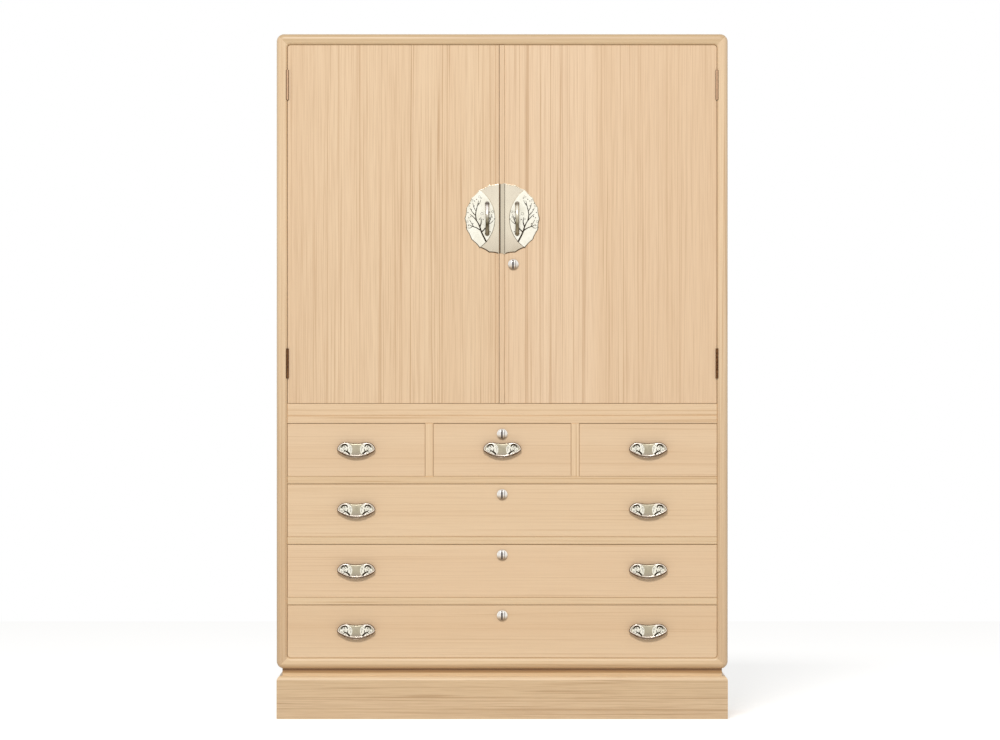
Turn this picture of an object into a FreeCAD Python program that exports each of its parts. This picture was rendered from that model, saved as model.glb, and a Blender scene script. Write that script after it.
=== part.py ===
"""A two-section clothing chest: two doors above six drawers, on a neck and a plinth.

Millimetres. X runs to the right along the front, Y from the front to the back, Z up.
The origin is on the floor, under the middle of the case's width and depth.
"""
import FreeCAD, Part
import math
import os
import re

import Sketcher

# The driving sizes, piece by piece
SIZES = {
    # whole case
    "case_width": 1100,
    "case_depth": 450,
    "upper_height": 930,
    "lower_height": 617,
    "case_board": 26,
    "outer_corner": 18,
    "inner_corner": 8,
    "outer_round": 12,
    "inner_round": 7,
    "cut_overrun": 5,
    # plinth and neck
    "plinth_height": 105,
    "plinth_board": 22,
    "plinth_round": 12,
    "stretcher_width": 40,
    "neck_height": 18,
    "neck_inset": 14,
    "neck_board": 22,
    # boards and rails inside the case
    "upper_floor": 29,
    "lower_top": 19,
    "lower_top_board": 10,
    "rail_height": 18,
    "rail_depth": 22,
    "rail_setback": 3,
    "rail_ease": 1.5,
    "dust_board": 9,
    "divider_thickness": 19.5,
    "back_thickness": 8,
    "back_inset": 2,
    # doors
    "face_setback": 5,
    "door_thickness": 21,
    "door_gap": 0.8,
    "door_ease": 0.8,
    "meeting_shift": 7.3,
    "meeting_gap": 1,
    "lipping_width": 8.5,
    "lipping_ease": 0.5,
    "strip_width": 11.5,
    "strip_inset": 0.7,
    "strip_rise": 3.5,
    "strip_crown": 1,
    # butt hinges
    "hinge_inset": 98,
    "hinge_length": 72,
    "knuckle_diameter": 7,
    "knuckle_gap": 0.3,
    "groove_play": 0.5,
    "pin_diameter": 3.6,
    "pin_play": 0.05,
    "pin_proud": 2,
    "leaf_thickness": 1.2,
    "leaf_width": 18,
    # door plates and bow pulls
    "plate_level": 480,
    "plate_radius": 86.5,
    "plate_thickness": 1.2,
    "plate_edge_gap": 0.3,
    "scallop_sag": 1.3,
    "field_rise": 0.5,
    "field_shift": 97.5,
    "bow_shift": 36.5,
    "bow_height": 84,
    "bow_projection": 21,
    "bow_waist": 8.2,
    "bow_end": 10.5,
    "bow_foot": 11.5,
    "bow_foot_rise": 2.5,
    # cup pulls on the drawers
    "cup_lobe_radius": 20,
    "cup_lobe_shift": 27,
    "cup_height": 37,
    "cup_dip": 2.5,
    "cup_shoulder_angle": 15,
    "cup_end_round": 6,
    "cup_projection": 15,
    "cup_wall": 2.5,
    "cup_lip": 4.5,
    "cup_pocket_top": 12.5,
    "cup_pocket_foot": 12,
    # locks
    "door_lock_shift": 27,
    "door_lock_drop": 111.5,
    "lock_pull_gap": 7.8,
    "lock_margin": 0.8,
    "plug_diameter": 25.6,
    "plug_height": 3.4,
    "plug_play": 0.3,
    "spindle_width": 8,
    "spindle_hole": 12,
    "keyway_width": 1.8,
    "keyway_length": 13,
    "keyway_depth": 3,
    "lock_case_width": 40,
    "lock_case_tail": 14,
    "lock_case_depth": 12,
    "lock_case_wall": 1.5,
    "lock_play": 0.3,
    "cam_thickness": 2,
    "cam_rim": 0.6,
    "crank_pin": 3,
    "bolt_width": 20,
    "bolt_thickness": 4,
    "bolt_travel": 8,
    # drawers
    "front_thickness": 20,
    "front_gap": 1,
    "front_side_gap": 0.5,
    "front_rise": 0.3,
    "front_ease": 0.8,
    "box_gap": 1.5,
    "box_side": 12,
    "box_bottom": 6,
    "box_back": 10,
    "box_headroom": 4,
    "box_rear_gap": 0.5,
    # clothes trays and their battens
    "tray_setback": 19,
    "tray_gap": 3,
    "tray_wall": 9,
    "tray_bottom": 5,
    "tray_height": 85,
    "tray_lip": 48,
    "batten_height": 12,
    "batten_width": 14,
}
SCALLOPS = 20
TRAYS = 7
BAR_SIDES = 12
WIDE_ROWS = ("lower", "middle", "upper")
outer_band_share = 0.25
inner_band_share = 0.75
touch_share = 0.01
bow_shares = (-1, -0.6, 0, 0.6, 1)

# Heights and depths that follow from the driving sizes
NECK_TOP = "(plinth_height + neck_height)"
SEAM = "(plinth_height + neck_height + lower_height)"
LOWER_FLOOR = "(plinth_height + neck_height + case_board)"
ROW = "((lower_height - case_board - lower_top - 3 * rail_height) / 4)"
HALF_OPENING = "(case_width / 2 - case_board)"
SMALL_OPENING = "((2 * (case_width / 2 - case_board) - 2 * divider_thickness) / 3)"
FACE = "(face_setback - case_depth / 2)"
RAIL_FACE = "(rail_setback - case_depth / 2)"
RAIL_BACK = "(rail_setback + rail_depth - case_depth / 2)"
BACK_FACE = "(case_depth / 2 - back_inset - back_thickness)"
DOOR_FLOOR = f"({SEAM} + upper_floor)"
DOOR_CEILING = f"({SEAM} + upper_height - case_board)"
MEETING_LEFT = "(-meeting_shift - meeting_gap / 2)"
MEETING_RIGHT = "(-meeting_shift + meeting_gap / 2)"
STRIP_LEFT = f"({MEETING_RIGHT} + strip_inset)"
STRIP_RIGHT = f"({MEETING_RIGHT} + strip_inset + strip_width)"
PIN_Y = "(face_setback - case_depth / 2 - pin_proud)"
PIN_X = "(case_width / 2 - case_board - door_gap / 2)"

doc = FreeCAD.newDocument("ClothingChest")
sheet = doc.addObject("Spreadsheet::Sheet", "Sizes")
for row, (alias, millimetres) in enumerate(SIZES.items(), start=1):
    sheet.set(f"A{row}", alias)
    sheet.set(f"B{row}", str(millimetres))
    sheet.setAlias(f"B{row}", alias)
doc.recompute()

subparts = []


def cells(formula):
    """The formula with each size's name pointed at its cell in the sheet."""

    def cell(match):
        word = match.group()
        return f"Sizes.{word}" if word in SIZES else word

    return re.sub(r"[a-z][a-z_]+", cell, str(formula))


def measure(formula):
    """What a formula of sizes comes to, in millimetres."""
    result = sheet.evalExpression(cells(formula))
    return float(getattr(result, "Value", result))


def bind(piece, prop, formula):
    piece.setExpression(prop, cells(formula))


def place(piece, x, y, z, turn=None):
    """Puts a piece at three formulas, turned first where turn gives a rotation."""
    if turn is not None:
        piece.Placement = FreeCAD.Placement(FreeCAD.Vector(), turn)
    for axis, formula in (("x", x), ("y", y), ("z", z)):
        if formula != 0:
            bind(piece, f"Placement.Base.{axis}", formula)
    return piece


def subpart(piece, label):
    piece.Label = label
    subparts.append(piece)
    return piece


def box(name, low, high):
    """A plain board between two corners, each three formulas."""
    piece = doc.addObject("Part::Box", name)
    for prop, start, end in zip(("Length", "Width", "Height"), low, high):
        bind(piece, prop, f"({end}) - ({start})")
    return place(piece, *low)


ALONG_Y = FreeCAD.Rotation(FreeCAD.Vector(1, 0, 0), -90)


def rod(name, diameter, length, x, y, z, turn=ALONG_Y):
    """A round bar from its start point, along Y unless turned otherwise."""
    piece = doc.addObject("Part::Cylinder", name)
    bind(piece, "Radius", f"({diameter}) / 2")
    bind(piece, "Height", length)
    return place(piece, x, y, z, turn)


def fuse(name, pieces):
    piece = doc.addObject("Part::MultiFuse", name)
    piece.Shapes = pieces
    return piece


def cut(name, base, tools):
    piece = doc.addObject("Part::Cut", name)
    piece.Base = base
    piece.Tool = tools[0] if len(tools) == 1 else fuse(f"{name}Tools", tools)
    return piece


def common(name, base, tool):
    piece = doc.addObject("Part::Common", name)
    piece.Base = base
    piece.Tool = tool
    return piece


def group(name, pieces):
    """Separate solids that share one name."""
    piece = doc.addObject("Part::Compound", name)
    piece.Links = pieces
    return piece


def origin_plane(body, role):
    return next(plane for plane in body.Origin.OriginFeatures if plane.Role == role)


def outline(body, plane, corners, bends):
    """A closed sketch through corners, each two formulas.

    bends maps a corner's number to the radius formula and the turn, 1 left or -1 right, of
    the arc that leaves it. The other sides are straight.
    """
    sketch = body.newObject("Sketcher::SketchObject", f"{body.Name}Outline")
    sketch.AttachmentSupport = (origin_plane(body, plane), [""])
    sketch.MapMode = "FlatFace"
    points = [FreeCAD.Vector(measure(a), measure(b), 0) for a, b in corners]
    sides = []
    for number, start in enumerate(points):
        end = points[(number + 1) % len(points)]
        if number in bends:
            radius, turn = bends[number]
            reach = measure(radius)
            half = (end - start) / 2
            rise = math.sqrt(max(reach**2 - half.Length**2, 0))
            left = FreeCAD.Vector(-half.y, half.x, 0).normalize()
            centre = start + half + left * (rise * turn)
            first, last = (start, end) if turn > 0 else (end, start)
            angles = [math.atan2(p.y - centre.y, p.x - centre.x) for p in (first, last)]
            circle = Part.Circle(centre, FreeCAD.Vector(0, 0, 1), reach)
            side = sketch.addGeometry(Part.ArcOfCircle(circle, *angles))
            rule = Sketcher.Constraint("Radius", side, reach)
            bind(sketch, f"Constraints[{sketch.addConstraint(rule)}]", radius)
            sides.append((side, 1, 2) if turn > 0 else (side, 2, 1))
        else:
            sides.append((sketch.addGeometry(Part.LineSegment(start, end)), 1, 2))
    for number, (side, begin, _) in enumerate(sides):
        before, _, finish = sides[number - 1]
        sketch.addConstraint(Sketcher.Constraint("Coincident", before, finish, side, begin))
        for kind, formula in zip(("DistanceX", "DistanceY"), corners[number]):
            rule = Sketcher.Constraint(kind, -1, 1, side, begin, measure(formula))
            bind(sketch, f"Constraints[{sketch.addConstraint(rule)}]", formula)
    return sketch


def rounded_rectangle(x_low, x_high, z_low, z_high, rounds):
    """Corners and bends of a rectangle. rounds gives the radius at bl, br, tr and tl."""
    corners = []
    bends = {}
    places = {
        "bl": ((x_low, "+", 0), (z_low, "+", 1)),
        "br": ((x_high, "-", 1), (z_low, "+", 0)),
        "tr": ((x_high, "-", 0), (z_high, "-", 1)),
        "tl": ((x_low, "+", 1), (z_high, "-", 0)),
    }
    for key, ((x, x_sign, x_first), (z, z_sign, z_first)) in places.items():
        radius = rounds.get(key)
        if radius is None:
            corners.append((x, z))
            continue
        before = (f"{x} {x_sign} {radius}" if x_first else x, f"{z} {z_sign} {radius}" if z_first else z)
        after = (x if x_first else f"{x} {x_sign} {radius}", z if z_first else f"{z} {z_sign} {radius}")
        bends[len(corners)] = (radius, 1)
        corners += [before, after]
    return corners, bends


def pad(name, plane, corners, bends, length, x=0, y=0, z=0):
    """A body padded from an outline: towards the front from XZ, upwards from XY."""
    body = doc.addObject("PartDesign::Body", name)
    sketch = outline(body, plane, corners, bends)
    feature = body.newObject("PartDesign::Pad", f"{name}Pad")
    feature.Profile = sketch
    bind(feature, "Length", length)
    return place(body, x, y, z)


def ease(body, size, picks, kind="Fillet"):
    """Rounds, or bevels where kind is Chamfer, the edges whose middle point picks chooses."""
    doc.recompute()
    last = body.Tip
    edges = [
        f"Edge{number}"
        for number, edge in enumerate(last.Shape.Edges, start=1)
        if picks(edge.valueAt((edge.FirstParameter + edge.LastParameter) / 2))
    ]
    feature = body.newObject(f"PartDesign::{kind}", f"{last.Name}Ease")
    feature.Base = (last, edges)
    bind(feature, "Radius" if kind == "Fillet" else "Size", size)
    return body


def near(value, goal):
    """Whether two values differ by no more than a small share of the smallest rounding."""
    return abs(value - goal) < measure("lipping_ease") * touch_share


def front_board(name, x_low, x_high, z_low, z_high, y_face, depth, bevel, rounds=None):
    """A board with a fine bevel round its front, as wide and high as the four formulas say."""
    corners, bends = rounded_rectangle(x_low, x_high, z_low, z_high, rounds or {})
    body = pad(name, "XZ_Plane", corners, bends, depth, y=f"{y_face} + {depth}")
    front_y = -measure(depth)
    return ease(body, bevel, lambda point: near(point.y, front_y), "Chamfer")


# Case boards: each section is one rounded shell of three boards, parted at its mitres
def section_boards(name, way, height, z):
    """Left, right and end boards of a section. Way 1 rounds its top, way -1 its bottom."""

    def corner(side, across, along):
        return (f"{side} * (case_width / 2 - {across})", f"{way} * ({height} - {along})")

    inner_start = "(case_board + inner_corner)"
    corners = [
        corner(-1, 0, height),
        corner(-1, 0, "outer_corner"),
        corner(-1, "outer_corner", 0),
        corner(1, "outer_corner", 0),
        corner(1, 0, "outer_corner"),
        corner(1, 0, height),
        corner(1, "case_board", height),
        corner(1, "case_board", inner_start),
        corner(1, inner_start, "case_board"),
        corner(-1, inner_start, "case_board"),
        corner(-1, "case_board", inner_start),
        corner(-1, "case_board", height),
    ]
    bends = {1: ("outer_corner", -way), 3: ("outer_corner", -way)}
    bends.update({7: ("inner_corner", way), 9: ("inner_corner", way)})
    shell = pad(f"{name}Shell", "XZ_Plane", corners, bends, "case_depth", y="case_depth / 2", z=z)
    front = -measure("case_depth")
    half = measure("case_width / 2")
    end = measure(height)
    board = measure("case_board")

    def depth_of(point):
        return min(half - abs(point.x), end - abs(point.z)) / board

    def outer_edge(point):
        return near(point.y, front) and depth_of(point) < outer_band_share

    def inner_edge(point):
        return near(point.y, front) and depth_of(point) > inner_band_share

    ease(shell, "outer_round", outer_edge)
    ease(shell, "inner_round", inner_edge)

    boards = []
    for word, side in (("Left", -1), ("Right", 1)):
        region = [
            corner(side, "-cut_overrun", f"({height} + cut_overrun)"),
            corner(side, "-cut_overrun", "-cut_overrun"),
            corner(side, inner_start, inner_start),
            corner(side, inner_start, f"({height} + cut_overrun)"),
        ]
        boards.append((word, region))
    region = [
        corner(-1, "-cut_overrun", "-cut_overrun"),
        corner(1, "-cut_overrun", "-cut_overrun"),
        corner(1, inner_start, inner_start),
        corner(-1, inner_start, inner_start),
    ]
    boards.append(("End", region))
    parted = []
    for word, region in boards:
        wedge = pad(
            f"{name}{word}Wedge",
            "XZ_Plane",
            region,
            {},
            "case_depth + 2 * cut_overrun",
            y="case_depth / 2 + cut_overrun",
            z=z,
        )
        parted.append(common(f"{name}{word}", shell, wedge))
    return parted


# Hinge places, seen from the front: pin axis and lower end of each butt hinge
HINGE_LOW = f"({DOOR_FLOOR} + hinge_inset - hinge_length / 2)"
HINGE_HIGH = f"({DOOR_CEILING} - hinge_inset - hinge_length / 2)"
HINGES = (("Low", HINGE_LOW), ("High", HINGE_HIGH))
LEAF_END = f"({PIN_Y} + leaf_width)"


def hinge_recess(name, side, inner):
    """Mortises for one board: a shallow one for each leaf and a round one for each barrel.

    inner is 1 for the case side, whose leaf lies outside the gap, and -1 for the door.
    """
    tools = []
    face = f"(case_width / 2 - case_board - door_gap / 2 + {inner} * door_gap / 2)"
    floor = f"({face} + {inner} * leaf_thickness)"
    low, high = (face, floor) if side * inner > 0 else (floor, face)
    for which, z in HINGES:
        tools.append(
            box(
                f"{name}Mortise{which}",
                (f"{side} * {low}", "-case_depth / 2 - cut_overrun", z),
                (f"{side} * {high}", LEAF_END, f"{z} + hinge_length"),
            )
        )
        tools.append(
            rod(
                f"{name}Groove{which}",
                "knuckle_diameter + 2 * groove_play",
                "hinge_length + 2 * groove_play",
                f"{side} * {PIN_X}",
                PIN_Y,
                f"{z} - groove_play",
                FreeCAD.Rotation(),
            )
        )
    return tools


def leaf(name, side, inner, z):
    """One leaf of a butt hinge, with its knuckles: the middle one, or the two outer ones."""
    near_face = "door_gap / 2"
    far_face = "(door_gap / 2 + leaf_thickness)"
    low, high = (near_face, far_face) if side * inner > 0 else (f"-{far_face}", f"-{near_face}")
    clear = f"({PIN_Y} + knuckle_diameter / 2 + knuckle_gap)"
    third = "hinge_length / 3"
    trim = "knuckle_gap / 2"
    axis = f"{side} * {PIN_X}"
    upright = FreeCAD.Rotation()
    if inner > 0:
        spans = [(f"{third} + {trim}", f"2 * {third} - {trim}")]
    else:
        spans = [("0", f"{third} - {trim}"), (f"2 * {third} + {trim}", "hinge_length")]
    pieces = [
        box(
            f"{name}Plate",
            (f"{axis} + {low}", clear, z),
            (f"{axis} + {high}", LEAF_END, f"{z} + hinge_length"),
        )
    ]
    for number, (start, end) in enumerate(spans):
        pieces.append(
            box(
                f"{name}Web{number}",
                (f"{axis} + {low}", PIN_Y, f"{z} + {start}"),
                (f"{axis} + {high}", clear, f"{z} + {end}"),
            )
        )
        barrel = rod(
            f"{name}Barrel{number}",
            "knuckle_diameter",
            f"({end}) - ({start})",
            axis,
            PIN_Y,
            f"{z} + {start}",
            upright,
        )
        pieces.append(barrel)
    if inner > 0:
        pieces.append(rod(f"{name}Pin", "pin_diameter", "hinge_length", axis, PIN_Y, z, upright))
        return fuse(name, pieces)
    bore = rod(
        f"{name}Bore",
        "pin_diameter + 2 * pin_play",
        "hinge_length + 2 * cut_overrun",
        axis,
        PIN_Y,
        f"{z} - cut_overrun",
        upright,
    )
    return cut(name, fuse(f"{name}Solid", pieces), [bore])


# Upper and lower case
upper_left, upper_right, upper_end = section_boards("Upper", 1, "upper_height", SEAM)
lower_left, lower_right, lower_end = section_boards("Lower", -1, "lower_height", SEAM)
for word, side, blank in (("left", -1, upper_left), ("right", 1, upper_right)):
    name = f"Upper{word.title()}Side"
    subpart(cut(name, blank, hinge_recess(name, side, 1)), f"upper_{word}_side")
subpart(lower_left, "lower_left_side")
subpart(lower_right, "lower_right_side")
subpart(upper_end, "upper_top_board")
subpart(lower_end, "lower_bottom_board")

upper_floor_board = front_board(
    "UpperFloor",
    f"-{HALF_OPENING}",
    HALF_OPENING,
    SEAM,
    DOOR_FLOOR,
    RAIL_FACE,
    f"({BACK_FACE} - {RAIL_FACE})",
    "rail_ease",
)
subpart(upper_floor_board, "upper_floor_board")

for word, low, high, keys in (
    ("upper", SEAM, DOOR_CEILING, ("tl", "tr")),
    ("lower", LOWER_FLOOR, SEAM, ("bl", "br")),
):
    rounds = {key: "inner_corner" for key in keys}
    corners, bends = rounded_rectangle(f"-{HALF_OPENING}", HALF_OPENING, low, high, rounds)
    panel = pad(
        f"{word.title()}Back", "XZ_Plane", corners, bends, "back_thickness", y="case_depth / 2 - back_inset"
    )
    subpart(panel, f"{word}_back_panel")


def railed_board(name, z_top, rail, board):
    """A rail across the front with a thinner board behind it, level on top."""
    front = front_board(
        f"{name}Rail",
        f"-{HALF_OPENING}",
        HALF_OPENING,
        f"{z_top} - {rail}",
        z_top,
        RAIL_FACE,
        "rail_depth",
        "rail_ease",
    )
    low = (f"-{HALF_OPENING}", RAIL_BACK, f"{z_top} - {board}")
    return [front, box(f"{name}Board", low, (HALF_OPENING, BACK_FACE, z_top))]


def row_floor(number):
    """The height of the surface that a drawer row rests on, counted from the bottom."""
    return f"({LOWER_FLOOR} + {number} * ({ROW} + rail_height))"


subpart(group("LowerTop", railed_board("LowerTop", SEAM, "lower_top", "lower_top_board")), "lower_top_frame")
shelves = []
for number in (1, 2, 3):
    shelves += railed_board(f"Shelf{number}", row_floor(number), "rail_height", "dust_board")
subpart(group("Shelves", shelves), "drawer_shelves")

dividers = []
for word, side in (("Left", -1), ("Right", 1)):
    middle = f"{side} * ({SMALL_OPENING} + divider_thickness) / 2"
    x_low = f"{middle} - divider_thickness / 2"
    x_high = f"{middle} + divider_thickness / 2"
    strip = front_board(
        f"Divider{word}Strip",
        x_low,
        x_high,
        row_floor(3),
        f"{SEAM} - lower_top",
        RAIL_FACE,
        "rail_depth",
        "rail_ease",
    )
    web = box(
        f"Divider{word}Web",
        (x_low, RAIL_BACK, row_floor(3)),
        (x_high, BACK_FACE, f"{SEAM} - lower_top_board"),
    )
    dividers += [strip, web]
subpart(group("Dividers", dividers), "small_row_dividers")

# Plinth and neck
CASE_FRONT = "-case_depth / 2"
CASE_REAR = "case_depth / 2"
HALF_CASE = "case_width / 2"
plinth_front = pad(
    "PlinthFront",
    "XY_Plane",
    [
        (f"-{HALF_CASE}", CASE_FRONT),
        (HALF_CASE, CASE_FRONT),
        (f"{HALF_CASE} - plinth_board", f"{CASE_FRONT} + plinth_board"),
        (f"-{HALF_CASE} + plinth_board", f"{CASE_FRONT} + plinth_board"),
    ],
    {},
    "plinth_height",
)
top = measure("plinth_height")
front = measure(CASE_FRONT)
ease(plinth_front, "plinth_round", lambda point: near(point.z, top) and near(point.y, front))
subpart(plinth_front, "plinth_front_board")

plinth_rest = []
for word, side in (("Left", -1), ("Right", 1)):
    board = pad(
        f"Plinth{word}",
        "XY_Plane",
        [
            (f"{side} * {HALF_CASE}", CASE_FRONT),
            (f"{side} * {HALF_CASE}", CASE_REAR),
            (f"{side} * ({HALF_CASE} - plinth_board)", CASE_REAR),
            (f"{side} * ({HALF_CASE} - plinth_board)", f"{CASE_FRONT} + plinth_board"),
        ],
        {},
        "plinth_height",
    )
    outside = measure(HALF_CASE)
    ease(board, "plinth_round", lambda point: near(point.z, top) and near(abs(point.x), outside))
    plinth_rest.append(board)
plinth_rest.append(
    box(
        "PlinthBack",
        (f"-{HALF_CASE} + plinth_board", f"{CASE_REAR} - plinth_board", 0),
        (f"{HALF_CASE} - plinth_board", CASE_REAR, "plinth_height"),
    )
)
plinth_rest.append(
    box(
        "PlinthStretcher",
        ("-stretcher_width / 2", f"{CASE_FRONT} + plinth_board", 0),
        ("stretcher_width / 2", f"{CASE_REAR} - plinth_board", "plinth_height"),
    )
)
subpart(group("PlinthRest", plinth_rest), "plinth_frame")

neck = []
for word, y in (("Front", f"{CASE_FRONT} + neck_inset"), ("Back", f"{CASE_REAR} - neck_inset - neck_board")):
    low = (f"-{HALF_CASE} + neck_inset", y, "plinth_height")
    neck.append(box(f"Neck{word}", low, (f"{HALF_CASE} - neck_inset", f"{y} + neck_board", NECK_TOP)))
for word, x in (("Left", f"-{HALF_CASE} + neck_inset"), ("Right", f"{HALF_CASE} - neck_inset - neck_board")):
    low = (x, f"{CASE_FRONT} + neck_inset + neck_board", "plinth_height")
    high = (f"{x} + neck_board", f"{CASE_REAR} - neck_inset - neck_board", NECK_TOP)
    neck.append(box(f"Neck{word}", low, high))
subpart(group("Neck", neck), "neck_frame")

# Clothes trays on battens behind the doors
TRAY_PITCH = f"((upper_height - case_board - upper_floor) / {TRAYS})"
HALF_TRAY = f"({HALF_OPENING} - tray_gap)"
TRAY_FRONT = f"({FACE} + door_thickness + tray_setback)"
TRAY_REAR = f"({BACK_FACE} - box_rear_gap)"
battens = []
trays = []
for number in range(TRAYS):
    foot = f"({DOOR_FLOOR} + {number} * {TRAY_PITCH})"
    shelf = f"({foot} + batten_height)"
    for word, low, high in (
        ("Left", f"-{HALF_OPENING}", f"-{HALF_OPENING} + batten_width"),
        ("Right", f"{HALF_OPENING} - batten_width", HALF_OPENING),
    ):
        battens.append(box(f"Batten{word}{number}", (low, TRAY_FRONT, foot), (high, TRAY_REAR, shelf)))
    base = f"({shelf} + tray_bottom)"
    rim = f"{shelf} + tray_height"
    inner = f"({HALF_TRAY} - tray_wall)"
    front_back = f"({TRAY_FRONT} + tray_wall)"
    rear_front = f"({TRAY_REAR} - tray_wall)"
    lip = f"{shelf} + tray_lip"
    trays += [
        box(f"Tray{number}Bottom", (f"-{HALF_TRAY}", TRAY_FRONT, shelf), (HALF_TRAY, TRAY_REAR, base)),
        box(f"Tray{number}Left", (f"-{HALF_TRAY}", TRAY_FRONT, base), (f"-{inner}", TRAY_REAR, rim)),
        box(f"Tray{number}Right", (inner, TRAY_FRONT, base), (HALF_TRAY, TRAY_REAR, rim)),
        box(f"Tray{number}Front", (f"-{inner}", TRAY_FRONT, base), (inner, front_back, lip)),
        box(f"Tray{number}Back", (f"-{inner}", rear_front, base), (inner, TRAY_REAR, rim)),
    ]
subpart(group("Battens", battens), "tray_battens")
subpart(group("Trays", trays), "clothes_trays")

# Doors
DOOR_LOW = f"({DOOR_FLOOR} + door_gap)"
DOOR_HIGH = f"({DOOR_CEILING} - door_gap)"
DOOR_EDGE = f"({HALF_OPENING} - door_gap)"
DOOR_ROUND = "(inner_corner - door_gap)"
PLATE_Z = f"({SEAM} + plate_level)"
DOOR_LOCK_Z = f"({PLATE_Z} - door_lock_drop)"

left_panel = front_board(
    "LeftPanelBlank",
    f"-{DOOR_EDGE}",
    f"{MEETING_LEFT} - lipping_width",
    DOOR_LOW,
    DOOR_HIGH,
    FACE,
    "door_thickness",
    "lipping_ease",
    {"tl": DOOR_ROUND},
)
left_panel = cut("LeftPanel", left_panel, hinge_recess("LeftPanel", -1, -1))
lipping = front_board(
    "LeftLipping",
    f"{MEETING_LEFT} - lipping_width",
    MEETING_LEFT,
    DOOR_LOW,
    DOOR_HIGH,
    FACE,
    "door_thickness",
    "lipping_ease",
)
subpart(group("LeftDoor", [left_panel, lipping]), "left_door_panel")
right_panel = front_board(
    "RightPanelBlank",
    MEETING_RIGHT,
    DOOR_EDGE,
    DOOR_LOW,
    DOOR_HIGH,
    FACE,
    "door_thickness",
    "door_ease",
    {"tr": DOOR_ROUND},
)
lock_hole = rod(
    "DoorLockHole",
    "spindle_hole",
    "door_thickness + 2 * cut_overrun",
    "door_lock_shift",
    f"{FACE} - cut_overrun",
    DOOR_LOCK_Z,
)
recess = hinge_recess("RightPanel", 1, -1)
subpart(cut("RightPanel", right_panel, recess + [lock_hole]), "right_door_panel")

CROWN_RADIUS = "(strip_width^2 / 4 + strip_crown^2) / (2 * strip_crown)"
strip = pad(
    "MeetingStrip",
    "XY_Plane",
    [
        (STRIP_LEFT, FACE),
        (STRIP_LEFT, f"{FACE} - strip_rise + strip_crown"),
        (STRIP_RIGHT, f"{FACE} - strip_rise + strip_crown"),
        (STRIP_RIGHT, FACE),
    ],
    {1: (CROWN_RADIUS, 1)},
    f"{DOOR_HIGH} - {DOOR_LOW}",
    z=DOOR_LOW,
)
subpart(strip, "meeting_strip")

case_leaves = []
for word, side in (("left", -1), ("right", 1)):
    door_leaves = []
    for which, z in HINGES:
        case_leaves.append(leaf(f"CaseLeaf{word.title()}{which}", side, 1, z))
        door_leaves.append(leaf(f"DoorLeaf{word.title()}{which}", side, -1, z))
    subpart(group(f"DoorLeaves{word.title()}", door_leaves), f"{word}_door_hinge_leaves")
subpart(group("CaseLeaves", case_leaves), "case_hinge_leaves")


# Door plates: scalloped half discs with a raised field
def scalloped_disc(name, x, thickness):
    """A disc whose edge is cut by a ring of shallow scallops, with a point at the top."""
    body = doc.addObject("PartDesign::Body", name)
    half_pitch = f"(180 / {SCALLOPS})"
    chord = f"(plate_radius * sin({half_pitch}))"
    cutter = f"(({chord}^2 + scallop_sag^2) / (2 * scallop_sag))"
    reach = f"(plate_radius * cos({half_pitch}) - scallop_sag + {cutter})"
    circles = (("Disc", 0, 0, "plate_radius"),)
    circles += (("Scallop", f"{reach} * sin({half_pitch})", f"{reach} * cos({half_pitch})", cutter),)
    features = []
    for word, across, along, radius in circles:
        sketch = body.newObject("Sketcher::SketchObject", f"{name}{word}Outline")
        sketch.AttachmentSupport = (origin_plane(body, "XZ_Plane"), [""])
        sketch.MapMode = "FlatFace"
        centre = FreeCAD.Vector(measure(across), measure(along), 0)
        circle = Part.Circle(centre, FreeCAD.Vector(0, 0, 1), measure(radius))
        number = sketch.addGeometry(circle)
        rules = [Sketcher.Constraint("Radius", number, measure(radius))]
        rules.append(Sketcher.Constraint("DistanceX", -1, 1, number, 3, measure(across)))
        rules.append(Sketcher.Constraint("DistanceY", -1, 1, number, 3, measure(along)))
        for rule, formula in zip(rules, (radius, across, along)):
            bind(sketch, f"Constraints[{sketch.addConstraint(rule)}]", formula)
        kind = "PartDesign::Pad" if word == "Disc" else "PartDesign::Pocket"
        feature = body.newObject(kind, f"{name}{word}")
        feature.Profile = sketch
        features.append(feature)
    disc, scallop = features
    bind(disc, "Length", thickness)
    scallop.Type = "ThroughAll"
    scallop.Reversed = True
    doc.recompute()
    if scallop.Shape.Volume >= disc.Shape.Volume:
        raise ValueError("the first scallop cuts nothing")
    ring = body.newObject("PartDesign::PolarPattern", f"{name}Ring")
    ring.Originals = [scallop]
    ring.Axis = (origin_plane(body, "Y_Axis"), [""])
    ring.Angle = 360
    ring.Occurrences = SCALLOPS
    body.Tip = ring
    return place(body, x, FACE, PLATE_Z)


PLATE_LOW = f"{PLATE_Z} - plate_radius - cut_overrun"
PLATE_HIGH = f"{PLATE_Z} + plate_radius + cut_overrun"
PLATE_FACE = f"({FACE} - plate_thickness)"
COVER_FACE = f"({FACE} - strip_rise - plate_thickness)"


def plate(word, centre, boxes):
    """Half of the round plate: what the boxes and the raised field leave of the disc."""
    side = -1 if word == "left" else 1
    disc = scalloped_disc(f"{word.title()}Disc", centre, "strip_rise + plate_thickness")
    field = rod(
        f"{word.title()}Field",
        "2 * plate_radius",
        "plate_thickness + field_rise",
        f"{centre} + {side} * field_shift",
        f"{PLATE_FACE} - field_rise",
        PLATE_Z,
    )
    return common(f"{word.title()}Plate", disc, fuse(f"{word.title()}PlateForms", boxes + [field]))


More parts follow.
